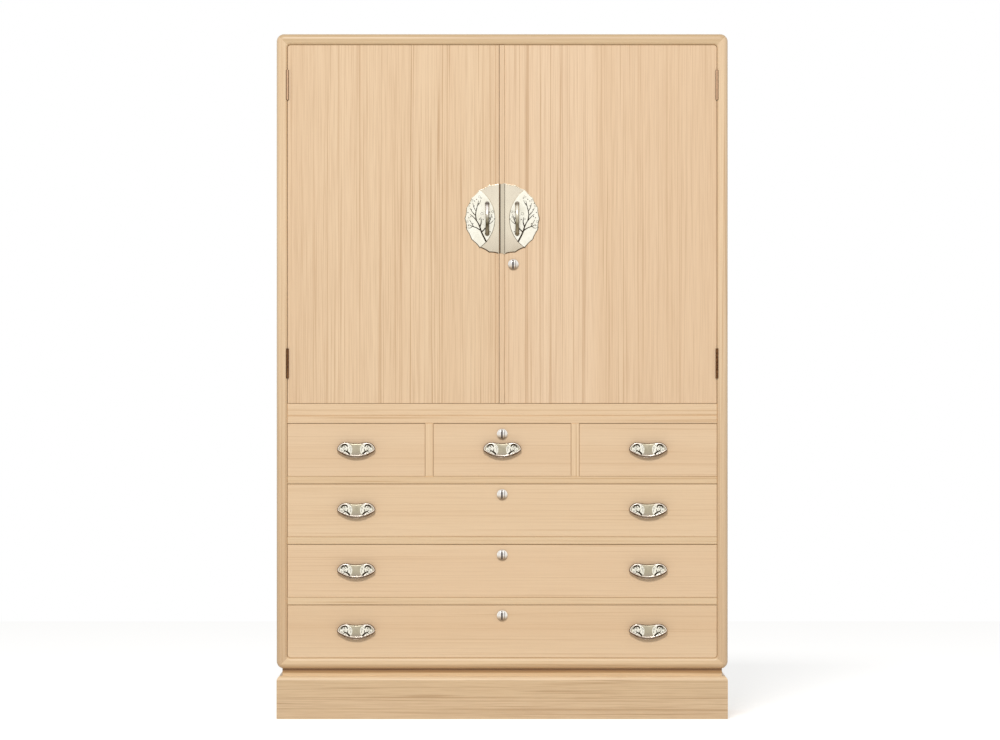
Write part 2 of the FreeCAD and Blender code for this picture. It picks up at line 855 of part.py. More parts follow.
left_half = box(
    "LeftHalf",
    (f"{MEETING_LEFT} - plate_radius - strip_width", PLATE_FACE, PLATE_LOW),
    (f"{MEETING_LEFT} - plate_edge_gap", FACE, PLATE_HIGH),
)
subpart(plate("left", f"-{STRIP_RIGHT}", [left_half]), "left_door_plate")
right_half = box(
    "RightHalf",
    (STRIP_RIGHT, PLATE_FACE, PLATE_LOW),
    (f"{STRIP_RIGHT} + plate_radius + cut_overrun", FACE, PLATE_HIGH),
)
cover = box(
    "StripCover",
    (STRIP_LEFT, COVER_FACE, PLATE_LOW),
    (f"{STRIP_RIGHT} + plate_thickness", f"{FACE} - strip_rise", PLATE_HIGH),
)
riser = box(
    "StripRiser",
    (STRIP_RIGHT, COVER_FACE, PLATE_LOW),
    (f"{STRIP_RIGHT} + plate_thickness", FACE, PLATE_HIGH),
)
subpart(plate("right", STRIP_RIGHT, [right_half, cover, riser]), "right_door_plate")


# Bow pulls: a tapered bar bent away from the plate, on two round feet
def ring(centre, along, diameter):
    """A many-sided ring about a centre, square to a direction in the YZ plane."""
    square = FreeCAD.Vector(0, -along.z, along.y)
    corners = []
    for number in range(BAR_SIDES + 1):
        angle = 2 * math.pi * number / BAR_SIDES
        spoke = FreeCAD.Vector(math.cos(angle), 0, 0) + square * math.sin(angle)
        corners.append(centre + spoke * (diameter / 2))
    return Part.makePolygon(corners)


def bow_shape():
    """Lengths between rings square to an arc, thick at its ends and thin between, and its feet."""
    half = measure("(bow_height - bow_foot) / 2")
    rise = measure("bow_projection - bow_waist / 2")
    radius = (half**2 + rise**2) / (2 * rise)
    reach = math.asin(half / radius)
    rings = []
    for share in bow_shares:
        angle = share * reach
        centre = FreeCAD.Vector(0, radius - rise - radius * math.cos(angle), radius * math.sin(angle))
        along = FreeCAD.Vector(0, math.sin(angle), math.cos(angle))
        rings.append(ring(centre, along, measure("bow_waist") + measure("bow_end - bow_waist") * share**2))
    bar = Part.makeLoft(rings, True, True)
    behind = measure("bow_foot")
    wall = Part.makeBox(2 * behind, 2 * behind, measure("2 * bow_height"))
    wall.translate(FreeCAD.Vector(-behind, 0, -measure("bow_height")))
    outwards = FreeCAD.Vector(0, -1, 0)
    feet = []
    for end in (-half, half):
        base = FreeCAD.Vector(0, 0, end)
        top = base + outwards * measure("bow_foot_rise")
        sole = ring(base, outwards, measure("bow_foot"))
        feet.append(Part.makeLoft([sole, ring(top, outwards, measure("bow_end"))], True, True))
    return bar.cut(wall).fuse(feet)


for word, side in (("left", -1), ("right", 1)):
    pull = doc.addObject("Part::Feature", f"{word.title()}Bow")
    pull.Shape = bow_shape()
    place(pull, f"{side} * bow_shift", f"{PLATE_FACE} - field_rise", PLATE_Z)
    subpart(pull, f"{word}_door_pull")


# Cup pulls: a two-lobed casting, hollow for the fingertips behind its lip
def cup_shape():
    """The outline's arcs drawn out, with a pocket behind and a mouth under the belly."""
    lobe = measure("cup_lobe_radius")
    shift = measure("cup_lobe_shift")
    lobe_z = measure("cup_height / 2") - lobe
    bottom = -measure("cup_height / 2")
    dip = measure("cup_dip")
    # the saddle arc hangs between the lobes and touches both
    rise = (shift**2 - dip**2) / (2 * dip)
    slope = math.atan2(rise, shift)
    shoulder = math.radians(measure("cup_shoulder_angle"))
    end_x = shift + lobe * math.cos(shoulder)
    end_z = lobe_z + lobe * math.sin(shoulder)

    def point(x, z):
        return FreeCAD.Vector(x, 0, z)

    def lobe_point(angle, side):
        return point(side * (shift + lobe * math.cos(angle)), lobe_z + lobe * math.sin(angle))

    start = math.pi - slope
    middle = (start + shoulder) / 2
    edges = [
        Part.Arc(lobe_point(start, -1), point(0, lobe_z + lobe - dip), lobe_point(start, 1)),
        Part.Arc(lobe_point(start, 1), lobe_point(middle, 1), point(end_x, end_z)),
        Part.Arc(point(end_x, end_z), point(0, bottom), point(-end_x, end_z)),
        Part.Arc(point(-end_x, end_z), lobe_point(middle, -1), lobe_point(start, -1)),
    ]
    face = Part.Face(Part.Wire([edge.toShape() for edge in edges]))
    solid = face.extrude(FreeCAD.Vector(0, -measure("cup_projection"), 0))
    ends = [
        edge
        for edge in solid.Edges
        if near(edge.BoundBox.XLength, 0) and near(abs(edge.Vertexes[0].X), end_x)
    ]
    solid = solid.makeFillet(measure("cup_end_round"), ends)
    overrun = measure("cut_overrun")
    foot = measure("cup_pocket_foot")
    hollows = []
    for front, z_low, height in (
        (measure("cup_projection - cup_wall"), -foot, foot + measure("cup_pocket_top")),
        (measure("cup_projection - cup_lip"), -2 * foot, foot),
    ):
        hollow = Part.makeBox(2 * shift, front + overrun, height)
        hollow.translate(FreeCAD.Vector(-shift, -front, z_low))
        hollows.append(hollow)
    return solid.cut(hollows)


CUP = cup_shape()


def cup_pulls(name, places, z):
    cups = []
    for number, x in enumerate(places):
        cup = doc.addObject("Part::Feature", f"{name}Cup{number}")
        cup.Shape = CUP
        cups.append(place(cup, x, FACE, z))
    return cups[0] if len(cups) == 1 else group(f"{name}Cups", cups)


# Locks: modelled with the key's axis along Y and the bolt sliding up
CRANK = "(bolt_travel / 2)"
CRANK_REACH = "(bolt_travel / sqrt(2))"


def lock_pieces(name, labels, thickness, reach, upright_key, x, z, turn):
    """Lock case, key plug with its cam, and bolt, behind a board of the given thickness."""
    case_front = f"({thickness})"
    case_back = f"({thickness} + lock_case_depth)"
    half = "(lock_case_width / 2)"
    shell = box(f"{name}Shell", (f"-{half}", case_front, "-lock_case_tail"), (half, case_back, reach))
    hollow = box(
        f"{name}Hollow",
        (f"-{half} + lock_case_wall", f"{case_front} + lock_case_wall", "-lock_case_tail + lock_case_wall"),
        (f"{half} - lock_case_wall", f"{case_back} - lock_case_wall", f"{reach} - lock_case_wall"),
    )
    hole = box(
        f"{name}Hole",
        ("-spindle_hole / 2", f"{case_front} - cut_overrun", "-spindle_hole / 2"),
        ("spindle_hole / 2", f"{case_front} + lock_case_wall + lock_play", "spindle_hole / 2"),
    )
    cam_front = f"({case_front} + lock_case_wall + lock_play)"
    cam_back = f"({cam_front} + cam_thickness)"
    bolt_front = f"({cam_back} + lock_play)"
    bolt_back = f"({bolt_front} + bolt_thickness)"
    half_slot = "(bolt_width / 2 + lock_play)"
    slot = box(
        f"{name}Slot",
        (f"-{half_slot}", f"{bolt_front} - lock_play", f"{reach} - lock_case_wall - cut_overrun"),
        (half_slot, f"{bolt_back} + lock_play", f"{reach} + cut_overrun"),
    )
    case = cut(f"{name}Case", shell, [hollow, hole, slot])

    plug_back = "(-plug_play)"
    head = rod(f"{name}Head", "plug_diameter", "plug_height", 0, f"{plug_back} - plug_height", 0)
    spindle = box(
        f"{name}Spindle",
        ("-spindle_width / 2", plug_back, "-spindle_width / 2"),
        ("spindle_width / 2", cam_back, "spindle_width / 2"),
    )
    cam_low = f"-{CRANK} - crank_pin / 2 - cam_rim"
    cam = box(
        f"{name}Cam",
        (cam_low, cam_front, cam_low),
        ("spindle_width / 2", cam_back, "spindle_width / 2"),
    )
    pin_length = "bolt_thickness + lock_play"
    pin = rod(f"{name}Pin", "crank_pin", pin_length, f"-{CRANK}", cam_back, f"-{CRANK}")
    long, short = "keyway_length / 2", "keyway_width / 2"
    across, along = (short, long) if upright_key else (long, short)
    keyway = box(
        f"{name}Keyway",
        (f"-{across}", f"{plug_back} - plug_height - cut_overrun", f"-{along}"),
        (across, f"{plug_back} - plug_height + keyway_depth", along),
    )
    plug = cut(f"{name}Plug", fuse(f"{name}PlugSolid", [head, spindle, cam, pin]), [keyway])

    bolt_blank = box(
        f"{name}BoltBlank",
        ("-bolt_width / 2", bolt_front, f"-{CRANK} - crank_pin - lock_play"),
        ("bolt_width / 2", bolt_back, reach),
    )
    play = "(crank_pin / 2 + lock_play)"
    window = box(
        f"{name}Window",
        (f"-{CRANK_REACH} - {play}", f"{bolt_front} - cut_overrun", f"-{CRANK} - {play}"),
        (f"-{CRANK} + {play}", f"{bolt_back} + cut_overrun", f"-{CRANK} + {play}"),
    )
    bolt = cut(f"{name}Bolt", bolt_blank, [window])
    for piece, label in zip((case, plug, bolt), labels):
        subpart(place(piece, x, FACE, z, turn), label)


SIDEWAYS = FreeCAD.Rotation(FreeCAD.Vector(0, 1, 0), -90)
lock_pieces(
    "DoorLock",
    ("door_lock", "door_key_plug", "door_bolt"),
    "door_thickness",
    f"(door_lock_shift - {MEETING_RIGHT} - lock_margin)",
    False,
    "door_lock_shift",
    DOOR_LOCK_Z,
    SIDEWAYS,
)


# Drawers
def drawer(name, label, x, half, row, pulls, locked, rounds):
    """A drawer of one opening: front board, box, cup pulls and a lock, where it has one."""
    floor = f"({row_floor(row)} + front_rise)"
    ceiling = f"({row_floor(row)} + {ROW} - front_gap)"
    front = front_board(
        f"{name}Front",
        f"{x} - {half} + front_side_gap",
        f"{x} + {half} - front_side_gap",
        floor,
        ceiling,
        FACE,
        "front_thickness",
        "front_ease",
        rounds,
    )
    centre = f"(({floor} + {ceiling}) / 2)"
    lock_z = f"({centre} + cup_height / 2 + lock_pull_gap + plug_diameter / 2)"
    if locked:
        hole = rod(
            f"{name}LockHole",
            "spindle_hole",
            "front_thickness + 2 * cut_overrun",
            x,
            f"{FACE} - cut_overrun",
            lock_z,
        )
        front = cut(f"{name}BoredFront", front, [hole])
        lock_pieces(
            f"{name}Lock",
            (f"{label}_lock", f"{label}_key_plug", f"{label}_bolt"),
            "front_thickness",
            f"({ceiling} - {lock_z} - lock_margin)",
            True,
            x,
            lock_z,
            FreeCAD.Rotation(),
        )
    subpart(front, f"{label}_front")

    side = f"({half} - box_gap)"
    inside = f"({side} - box_side)"
    box_front = f"({FACE} + front_thickness)"
    box_end = f"({BACK_FACE} - box_rear_gap)"
    foot = floor
    if rounds:
        foot = f"({floor} + inner_corner)"
    base = f"({foot} + box_bottom)"
    rim = f"({ceiling} - box_headroom)"
    left, right = f"{x} - {side}", f"{x} + {side}"
    inner_left, inner_right = f"{x} - {inside}", f"{x} + {inside}"
    boards = [
        box(f"{name}Bottom", (left, box_front, foot), (right, box_end, base)),
        box(f"{name}LeftSide", (left, box_front, base), (inner_left, box_end, rim)),
        box(f"{name}RightSide", (inner_right, box_front, base), (right, box_end, rim)),
        box(f"{name}Rear", (inner_left, f"{box_end} - box_back", base), (inner_right, box_end, rim)),
    ]
    if rounds:
        for word, way in (("Left", -1), ("Right", 1)):
            edge = f"{x} + {way} * ({side} - inner_corner)"
            far = f"{edge} - {way} * batten_width"
            low, high = (edge, far) if way < 0 else (far, edge)
            boards.append(box(f"{name}{word}Skid", (low, box_front, floor), (high, box_end, foot)))
    subpart(group(f"{name}Box", boards), f"{label}_box")
    kind = "pull" if len(pulls) == 1 else "pulls"
    subpart(cup_pulls(name, pulls, centre), f"{label}_{kind}")


PITCH = f"({SMALL_OPENING} + divider_thickness)"
for word, side in (("left", -1), ("middle", 0), ("right", 1)):
    middle = f"{side} * {PITCH}" if side else "0"
    half = f"({SMALL_OPENING} / 2)"
    drawer(f"Small{word.title()}", f"small_{word}", middle, half, len(WIDE_ROWS), [middle], side == 0, {})
for row, word in enumerate(WIDE_ROWS):
    rounds = {key: "(inner_corner - front_side_gap)" for key in ("bl", "br")} if row == 0 else {}
    places = [f"-1 * {PITCH}", PITCH]
    drawer(f"Wide{word.title()}", f"wide_{word}", "0", HALF_OPENING, row, places, True, rounds)

doc.recompute()
failed = [piece.Label for piece in doc.Objects if {"Invalid", "Error"} & set(piece.State)]
if failed:
    raise RuntimeError(f"these failed to compute: {failed}")
for piece in subparts:
    if piece.Shape.isNull() or not piece.Shape.isValid():
        raise RuntimeError(f"{piece.Label} has no valid shape")
os.makedirs("parts", exist_ok=True)
for piece in subparts:
    piece.Shape.exportStep(f"parts/{piece.Label}.step")
print(len(subparts), "sub-parts written")
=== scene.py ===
"""A clothing chest in pale straight-grained wood: two doors, six drawers, silvered fittings."""

import bpy
import numpy as np
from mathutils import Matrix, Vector


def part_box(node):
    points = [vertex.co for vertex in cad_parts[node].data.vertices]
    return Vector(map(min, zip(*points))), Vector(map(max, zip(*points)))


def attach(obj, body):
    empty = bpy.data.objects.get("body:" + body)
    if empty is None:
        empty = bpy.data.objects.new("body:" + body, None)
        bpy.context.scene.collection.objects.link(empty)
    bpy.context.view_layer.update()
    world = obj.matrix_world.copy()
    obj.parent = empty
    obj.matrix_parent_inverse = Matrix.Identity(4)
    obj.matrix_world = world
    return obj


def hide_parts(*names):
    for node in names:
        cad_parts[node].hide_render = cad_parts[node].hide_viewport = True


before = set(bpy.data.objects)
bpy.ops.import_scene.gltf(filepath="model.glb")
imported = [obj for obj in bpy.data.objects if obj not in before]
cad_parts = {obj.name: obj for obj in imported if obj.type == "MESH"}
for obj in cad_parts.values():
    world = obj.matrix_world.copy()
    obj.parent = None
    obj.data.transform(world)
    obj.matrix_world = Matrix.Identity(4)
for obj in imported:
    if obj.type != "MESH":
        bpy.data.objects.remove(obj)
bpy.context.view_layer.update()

MM = 0.001


# ---- Case boards ----
# Cores faced with straight-grained ash veneer, mitred at the corners, rounded by hand plane and
# sprayed with a clear satin lacquer. The boards stand or lie along their grain.
def linear(code):
    """The linear colour of an sRGB hex value."""
    channels = np.array([int(code[i : i + 2], 16) / 255 for i in (1, 3, 5)])
    curve = np.where(channels <= 0.04045, channels / 12.92, ((channels + 0.055) / 1.055) ** 2.4)
    return (*curve, 1)


def add(tree, kind, inputs=(), **settings):
    """Adds a node: settings are its own, inputs are values or the sockets that feed it.

    A list fills the node's inputs from the first on, a dict names or numbers them.
    """
    node = tree.nodes.new(kind)
    for name, value in settings.items():
        setattr(node, name, value)
    for key, value in inputs.items() if isinstance(inputs, dict) else enumerate(inputs):
        if isinstance(value, bpy.types.NodeSocket):
            tree.links.new(value, node.inputs[key])
        else:
            node.inputs[key].default_value = value
    return node


def finish_for(name):
    """A new material, its tree and its one Principled shader."""
    material = bpy.data.materials.new(name)
    material.use_nodes = True
    return material, material.node_tree, material.node_tree.nodes["Principled BSDF"]


# sizes across the grain; real pores are about 0.3 mm wide and drawn coarser, so that they show
TONE_BAND_MM, DASH_MM, PORE_MM = 120, 2.2, 1.1
# dashes are this many times shorter than rings, on an axis whose share is below ALONG_GRAIN
DASH_SHORTER, ALONG_GRAIN = 5, 0.01
# metres out from the chest's middle between which the ring lines fade
HEART_ENDS = (0.06, 0.45)


def straight_grain(
    name, stretch, pale, deep, line, gap_mm, line_share, pore_share, shift=0.0, gloss=0.42, heart=1.0
):
    """Quarter-cut veneer: growth rings show as fine darker lines that run along the grain.

    stretch shrinks the pattern's coordinate along the grain, so every noise becomes streaks. The
    tone drifts in bands. A ring line lies where a smooth noise of gap_mm crosses its middle value.
    Dashes, a fifth as long as the rings, and pores dot the whole. heart is the share of their
    strength that ring lines keep 450 mm out from the chest's middle, where the flitches' hearts
    lie. The satin lacquer leaves a soft, wide sheen over the figure.
    """
    material, tree, shader = finish_for(name)
    object_place = add(tree, "ShaderNodeTexCoord").outputs["Object"]
    moved = {"Vector": object_place, "Location": (shift, shift * 0.7, shift * 1.3), "Scale": stretch}
    place = add(tree, "ShaderNodeMapping", moved).outputs["Vector"]
    shorter = tuple(DASH_SHORTER * share if share < ALONG_GRAIN else share for share in stretch)
    dash_place = add(tree, "ShaderNodeMapping", {**moved, "Scale": shorter}).outputs["Vector"]

    def streaks(size_mm, detail, where=place):
        settings = {"Vector": where, "Scale": 1 / (size_mm * MM), "Detail": detail, "Roughness": 0.55}
        return add(tree, "ShaderNodeTexNoise", settings).outputs["Fac"]

    tone = add(tree, "ShaderNodeMapRange", [streaks(TONE_BAND_MM, 2), 0.35, 0.65, 0, 1]).outputs[0]
    dashes = streaks(DASH_MM, 2, dash_place)
    dashes = add(tree, "ShaderNodeMapRange", [dashes, 0.45, 0.66, 0, line_share]).outputs[0]
    pores = streaks(PORE_MM, 1, dash_place)
    pores = add(tree, "ShaderNodeMapRange", [pores, 0.42, 0.7, 0, pore_share]).outputs[0]

    # ring lines, stronger near the heart
    off = add(tree, "ShaderNodeMath", [streaks(gap_mm, 1), 0.5], operation="SUBTRACT").outputs[0]
    off = add(tree, "ShaderNodeMath", [off], operation="ABSOLUTE").outputs[0]
    rings = add(tree, "ShaderNodeMapRange", [off, 0.0, 0.03, 1, 0], interpolation_type="SMOOTHSTEP")
    out = add(tree, "ShaderNodeSeparateXYZ", [object_place]).outputs["X"]
    out = add(tree, "ShaderNodeMath", [out], operation="ABSOLUTE").outputs[0]
    strengths = (line_share * 3, line_share * 3 * heart)
    strength = add(tree, "ShaderNodeMapRange", [out, *HEART_ENDS, *strengths]).outputs[0]
    rings = add(tree, "ShaderNodeMath", [rings.outputs[0], strength], operation="MULTIPLY").outputs[0]

    tones = {0: tone, 6: linear(pale), 7: linear(deep)}
    colour = add(tree, "ShaderNodeMix", tones, data_type="RGBA").outputs[2]
    for share in (dashes, rings, pores):
        tones = {0: share, 6: colour, 7: linear(line)}
        colour = add(tree, "ShaderNodeMix", tones, data_type="RGBA").outputs[2]
    tree.links.new(colour, shader.inputs["Base Color"])
    rough = add(tree, "ShaderNodeMapRange", [tone, 0, 1, gloss - 0.05, gloss + 0.07])
    tree.links.new(rough.outputs[0], shader.inputs["Roughness"])
    bump = add(tree, "ShaderNodeBump", {"Height": pores, "Strength": 0.3, "Distance": 0.5 * MM})
    tree.links.new(bump.outputs["Normal"], shader.inputs["Normal"])
    shader.inputs["Coat Weight"].default_value = 0.06
    shader.inputs["Coat Roughness"].default_value = 0.3
    return material


def height_ramp(tree, z_mm, stops):
    """A colour that changes with height: stops are heights from z_mm in mm with their colours."""
    place = add(tree, "ShaderNodeTexCoord").outputs["Object"]
    height = add(tree, "ShaderNodeSeparateXYZ", [place]).outputs["Z"]
    low, high = stops[0][0], stops[-1][0]
    ends = ((z_mm + low) * MM, (z_mm + high) * MM)
    height = add(tree, "ShaderNodeMapRange", [height, *ends, 0, 1]).outputs[0]
    ramp = add(tree, "ShaderNodeValToRGB", [height])
    for number, (level, code) in enumerate(stops):
        position = (level - low) / (high - low)
        stop = ramp.color_ramp.elements[number] if number < 2 else ramp.color_ramp.elements.new(position)
        stop.position = position
        stop.color = linear(code)
    return ramp.outputs["Color"]


def darken_by_height(material, stops):
    """Multiplies a material's colour by tones that change with the height above the floor."""
    tree = material.node_tree
    base = tree.nodes["Principled BSDF"].inputs["Base Color"]
    darkened = {0: 1.0, 6: base.links[0].from_socket, 7: height_ramp(tree, 0, stops)}
    darkened = add(tree, "ShaderNodeMix", darkened, data_type="RGBA", blend_type="MULTIPLY")
    tree.links.new(darkened.outputs[2], base)


def dress(material, *nodes):
    """Gives carried-over nodes their finish."""
    for node in nodes:
        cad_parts[node].data.materials.clear()
        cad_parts[node].data.materials.append(material)


# each axis's share of the figure's coordinate: whole across the grain, near nothing along it
UPRIGHT = (1, 1, 0.0024)
LEVEL = (0.003, 1, 1)
# the case's figure: colour and gap in mm of the ring lines, then their and the pores' strength
CASE_FIGURE = ("#b98e5c", 9, 0.15, 0.06)
case_upright = straight_grain("lacquered_ash_upright", UPRIGHT, "#edd0ab", "#e6c69e", *CASE_FIGURE)
case_sides = straight_grain("lacquered_ash_sides", UPRIGHT, "#edd0ab", "#e6c69e", *CASE_FIGURE, 0.3)
# the top board's copy is darker than the other boards': painted shade
case_top = straight_grain("lacquered_ash_top_painted_shade", LEVEL, "#d9bc94", "#d0b086", "#a97e4c", 9, 0.15, 0.06, 0.2)
case_level = straight_grain("lacquered_ash_level", LEVEL, "#ecd0ac", "#e5c59e", *CASE_FIGURE)
case_foot = straight_grain("lacquered_ash_bottom_painted_shade", LEVEL, "#e9cca5", "#e1c096", *CASE_FIGURE, 0.5)
case_rail = straight_grain("lacquered_ash_rails", LEVEL, "#e5c8a1", "#dcbb91", *CASE_FIGURE, 0.7)

# the sides darken a little towards the floor, and the bottom board along its lower edge, where
# its rounding turns down: painted shade
darken_by_height(case_sides, [
    (130, "#e9e5e0"), (260, "#ece8e3"), (650, "#f1efec"), (850, "#f8f8f8"), (1200, "#ffffff"),
    (1600, "#fcfcfc"),
])
darken_by_height(case_foot, [(123, "#e2dcd4"), (131, "#e9e4dd"), (136, "#ffffff"), (140, "#ffffff")])
dress(case_top, "upper_top_board")
dress(case_level, "upper_floor_board", "lower_top_frame")
dress(case_rail, "drawer_shelves")
dress(case_upright, "small_row_dividers")
dress(case_sides, "upper_left_side", "upper_right_side", "lower_left_side", "lower_right_side")
dress(case_foot, "lower_bottom_board")


# ---- Plinth and neck ----
# The plinth's boards and the neck frame that lifts the case off it, in the same veneer laid with
# the grain running round them. Painted shade darkens the plinth's front and the neck's upper part.
LEVEL_ALL_ROUND = (0.004, 0.004, 1)
plinth_ash = straight_grain(
    "lacquered_ash_plinth_painted_light", LEVEL_ALL_ROUND, "#f7dbb7", "#e9ca9f", "#a57946", 7, 0.15, 0.08, 3.1
)
neck_ash = straight_grain(
    "ash_neck_painted_shadow", LEVEL_ALL_ROUND, "#f2d6ae", "#e4c599", "#a57946", 7, 0.14, 0.08, 3.6
)
# painted light and shade: the plinth's top rounding stays full bright, its front below 93 mm darker
darken_by_height(plinth_ash, [(0, "#e6e3df"), (60, "#e9e6e2"), (93, "#e9e6e2"), (98, "#ffffff"), (106, "#ffffff")])
# painted shadow: the neck's upper part, under the case's overhang, darker and browner
darken_by_height(neck_ash, [(105, "#ffffff"), (111, "#f5f0e8"), (113.5, "#c9b598"), (118, "#ab9376"), (123, "#90775a")])
dress(plinth_ash, "plinth_front_board", "plinth_frame")
dress(neck_ash, "neck_frame")


# ---- Inside of the chest ----
# Drawer boxes, clothes trays, battens and back panels are planed paulownia, left bare: light,
# dry and matt, with a soft even grain.
# shrunk most from side to side and less from front to back
BARE = (0.02, 0.15, 1)
paulownia = straight_grain(
    "bare_paulownia", BARE, "#e2cfaa", "#d8c298", "#b29668", 12, 0.2, 0.1, 5.3, 0.62
)
dress(paulownia, "upper_back_panel", "lower_back_panel", "tray_battens", "clothes_trays")


# ---- Doors ----
# Two flush doors veneered with one upright flitch, its heart towards the middle, and the meeting
# strip, a bead of the same wood glued along the right door's edge.
HEART = 0.45
left_veneer = straight_grain(
    "lacquered_ash_left_door", UPRIGHT, "#eacca7", "#e0bf99", "#a87b4b", 8, 0.2, 0.08, 0.4, heart=HEART
)
right_veneer = straight_grain(
    "lacquered_ash_right_door", UPRIGHT, "#edcfac", "#e5c5a0", "#a87b4b", 8, 0.15, 0.08, 0.9, heart=HEART
)
dress(left_veneer, "left_door_panel")
dress(right_veneer, "right_door_panel", "meeting_strip")


def mesh_piece(name, material, body, skins):
    """One object of closed skins, each an array of rings: rings by points by three, in mm.

    Neighbouring rings are joined by quads and each end ring is closed by a fan to its middle. A
    skin whose signed volume comes out negative is turned round, so all faces point outwards.
    """
    points, faces = [], []
    start = 0
    for rings in skins:
        count, around = rings.shape[:2]
        mids = rings[[0, -1]].mean(axis=1)
        corners = np.concatenate([rings.reshape(-1, 3), mids])
        index = np.arange(count * around).reshape(count, around)
        turned = np.roll(index, -1, axis=1)
        quads = np.stack([index[:-1], turned[:-1], turned[1:], index[1:]], axis=-1).reshape(-1, 4)
        first = np.stack([turned[0], index[0], np.full(around, count * around)], axis=-1)
        last = np.stack([index[-1], turned[-1], np.full(around, count * around + 1)], axis=-1)
        thirds = np.concatenate([quads[:, [0, 1, 2]], quads[:, [0, 2, 3]], first, last])
        a, b, c = (corners[thirds[:, i]] for i in range(3))
        if np.einsum("ij,ij->i", a, np.cross(b, c)).sum() < 0:
            quads, first, last = quads[:, ::-1], first[:, ::-1], last[:, ::-1]
        points.append(corners)
        faces += (quads + start).tolist() + (first + start).tolist() + (last + start).tolist()
        start += len(corners)
    mesh = bpy.data.meshes.new(name)
    mesh.from_pydata((np.concatenate(points) * MM).tolist(), [], faces)
    mesh.polygons.foreach_set("use_smooth", np.ones(len(faces), bool))
    mesh.materials.append(material)
    mesh.update()
    piece = bpy.data.objects.new(name, mesh)
    bpy.context.scene.collection.objects.link(piece)
    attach(piece, body)
    return piece


def clouds(tree, size_mm, detail=2, low=0.0, high=1.0, stretch=(1, 1, 1)):
    """A cloudy pattern in the piece's own place, spread from low to high."""
    place = add(tree, "ShaderNodeTexCoord").outputs["Object"]
    place = add(tree, "ShaderNodeMapping", {"Vector": place, "Scale": stretch}).outputs["Vector"]
    settings = {"Vector": place, "Scale": 1 / (size_mm * MM), "Detail": detail}
    fog = add(tree, "ShaderNodeTexNoise", settings).outputs["Fac"]
    return add(tree, "ShaderNodeMapRange", [fog, 0.35, 0.65, low, high]).outputs[0]


# a painted shadow line in the corner between the strip and the right door: a dull, darker fillet
corner_shadow, tree, shader = finish_for("corner_painted_shadow")
tones = {0: clouds(tree, 25), 6: linear("#b08d63"), 7: linear("#c5a47a")}
tones = add(tree, "ShaderNodeMix", tones, data_type="RGBA")
tree.links.new(tones.outputs[2], shader.inputs["Base Color"])
shader.inputs["Roughness"].default_value = 0.5

# the fillet's section, across and out from the doors' face, drawn from end to end of each length
FRONT = -220
across_out = np.array([(5.3, 0.1), (5.3, -0.9), (5.8, -0.5), (6.3, -0.2), (6.4, 0.1)])
fillet = np.column_stack([across_out + [0, FRONT], np.zeros(len(across_out))])
BELOW_PLATE, ABOVE_PLATE = (770.5, 1132), (1308, 1642.5)
lengths = [
    np.stack([fillet + [0, 0, low], fillet + [0, 0, high]]) for low, high in (BELOW_PLATE, ABOVE_PLATE)
]
mesh_piece("strip_corner_painted_shadow", corner_shadow, "right_door", lengths)


# ---- Hinges ----
# Butt hinges in brown bronze, cast, filed and left with their dark patina. Each leaf is let into
# its board and screwed, and only the knuckles show from the front.
def turned_away(tree, low, high, most=1.0):
    """How far a surface turns away from the front: 0 where square to it, up to most."""
    facing = add(tree, "ShaderNodeTexCoord").outputs["Normal"]
    facing = add(tree, "ShaderNodeSeparateXYZ", [facing]).outputs["Y"]
    turned = [facing, -high, -low, 0, most]
    return add(tree, "ShaderNodeMapRange", turned, interpolation_type="SMOOTHSTEP").outputs[0]


# brown patina, dull and spotted, with a painted highlight that lightens the fronts of the upper hinges
bronze, tree, shader = finish_for("brown_bronze")
place = add(tree, "ShaderNodeTexCoord").outputs["Object"]
height = add(tree, "ShaderNodeSeparateXYZ", [place]).outputs["Z"]
upper = add(tree, "ShaderNodeMapRange", [height, 1.3, 1.4, 0, 0.75]).outputs[0]
fronts = add(tree, "ShaderNodeMath", [1.0, turned_away(tree, 0.55, 0.95)], operation="SUBTRACT")
painted_highlight = add(tree, "ShaderNodeMath", [fronts.outputs[0], upper], operation="MULTIPLY").outputs[0]
patina = {0: clouds(tree, 4, 3), 6: linear("#4b2f1c"), 7: linear("#75502f")}
patina = add(tree, "ShaderNodeMix", patina, data_type="RGBA").outputs[2]
patina = add(tree, "ShaderNodeMix", {0: painted_highlight, 6: patina, 7: linear("#d0ac8c")}, data_type="RGBA")
tree.links.new(patina.outputs[2], shader.inputs["Base Color"])
tree.links.new(clouds(tree, 4, 3, 0.35, 0.5), shader.inputs["Roughness"])
shader.inputs["Metallic"].default_value = 0.85
dress(bronze, "case_hinge_leaves", "left_door_hinge_leaves", "right_door_hinge_leaves")


# ---- Door plates ----
# A round plate of nickel silver, sawn with a scalloped edge and parted at the door joint. Each
# half has a white frosted field, silver plated, on which a plum bough is laid in dark copper.
PLATE_RADIUS, PLATE_Z, PLATE_MID = 86.5, 1220, 5.4
SCALLOP_DIP, SCALLOPS = 2.365, 20
FIELD_SHIFT, FIELD_TOP, FIELD_CROWN = 97.5, 71.3, 0.7
PLATE_FACE, FIELD_FACE, COVER_FACE = -221.2, -221.7, -224.7

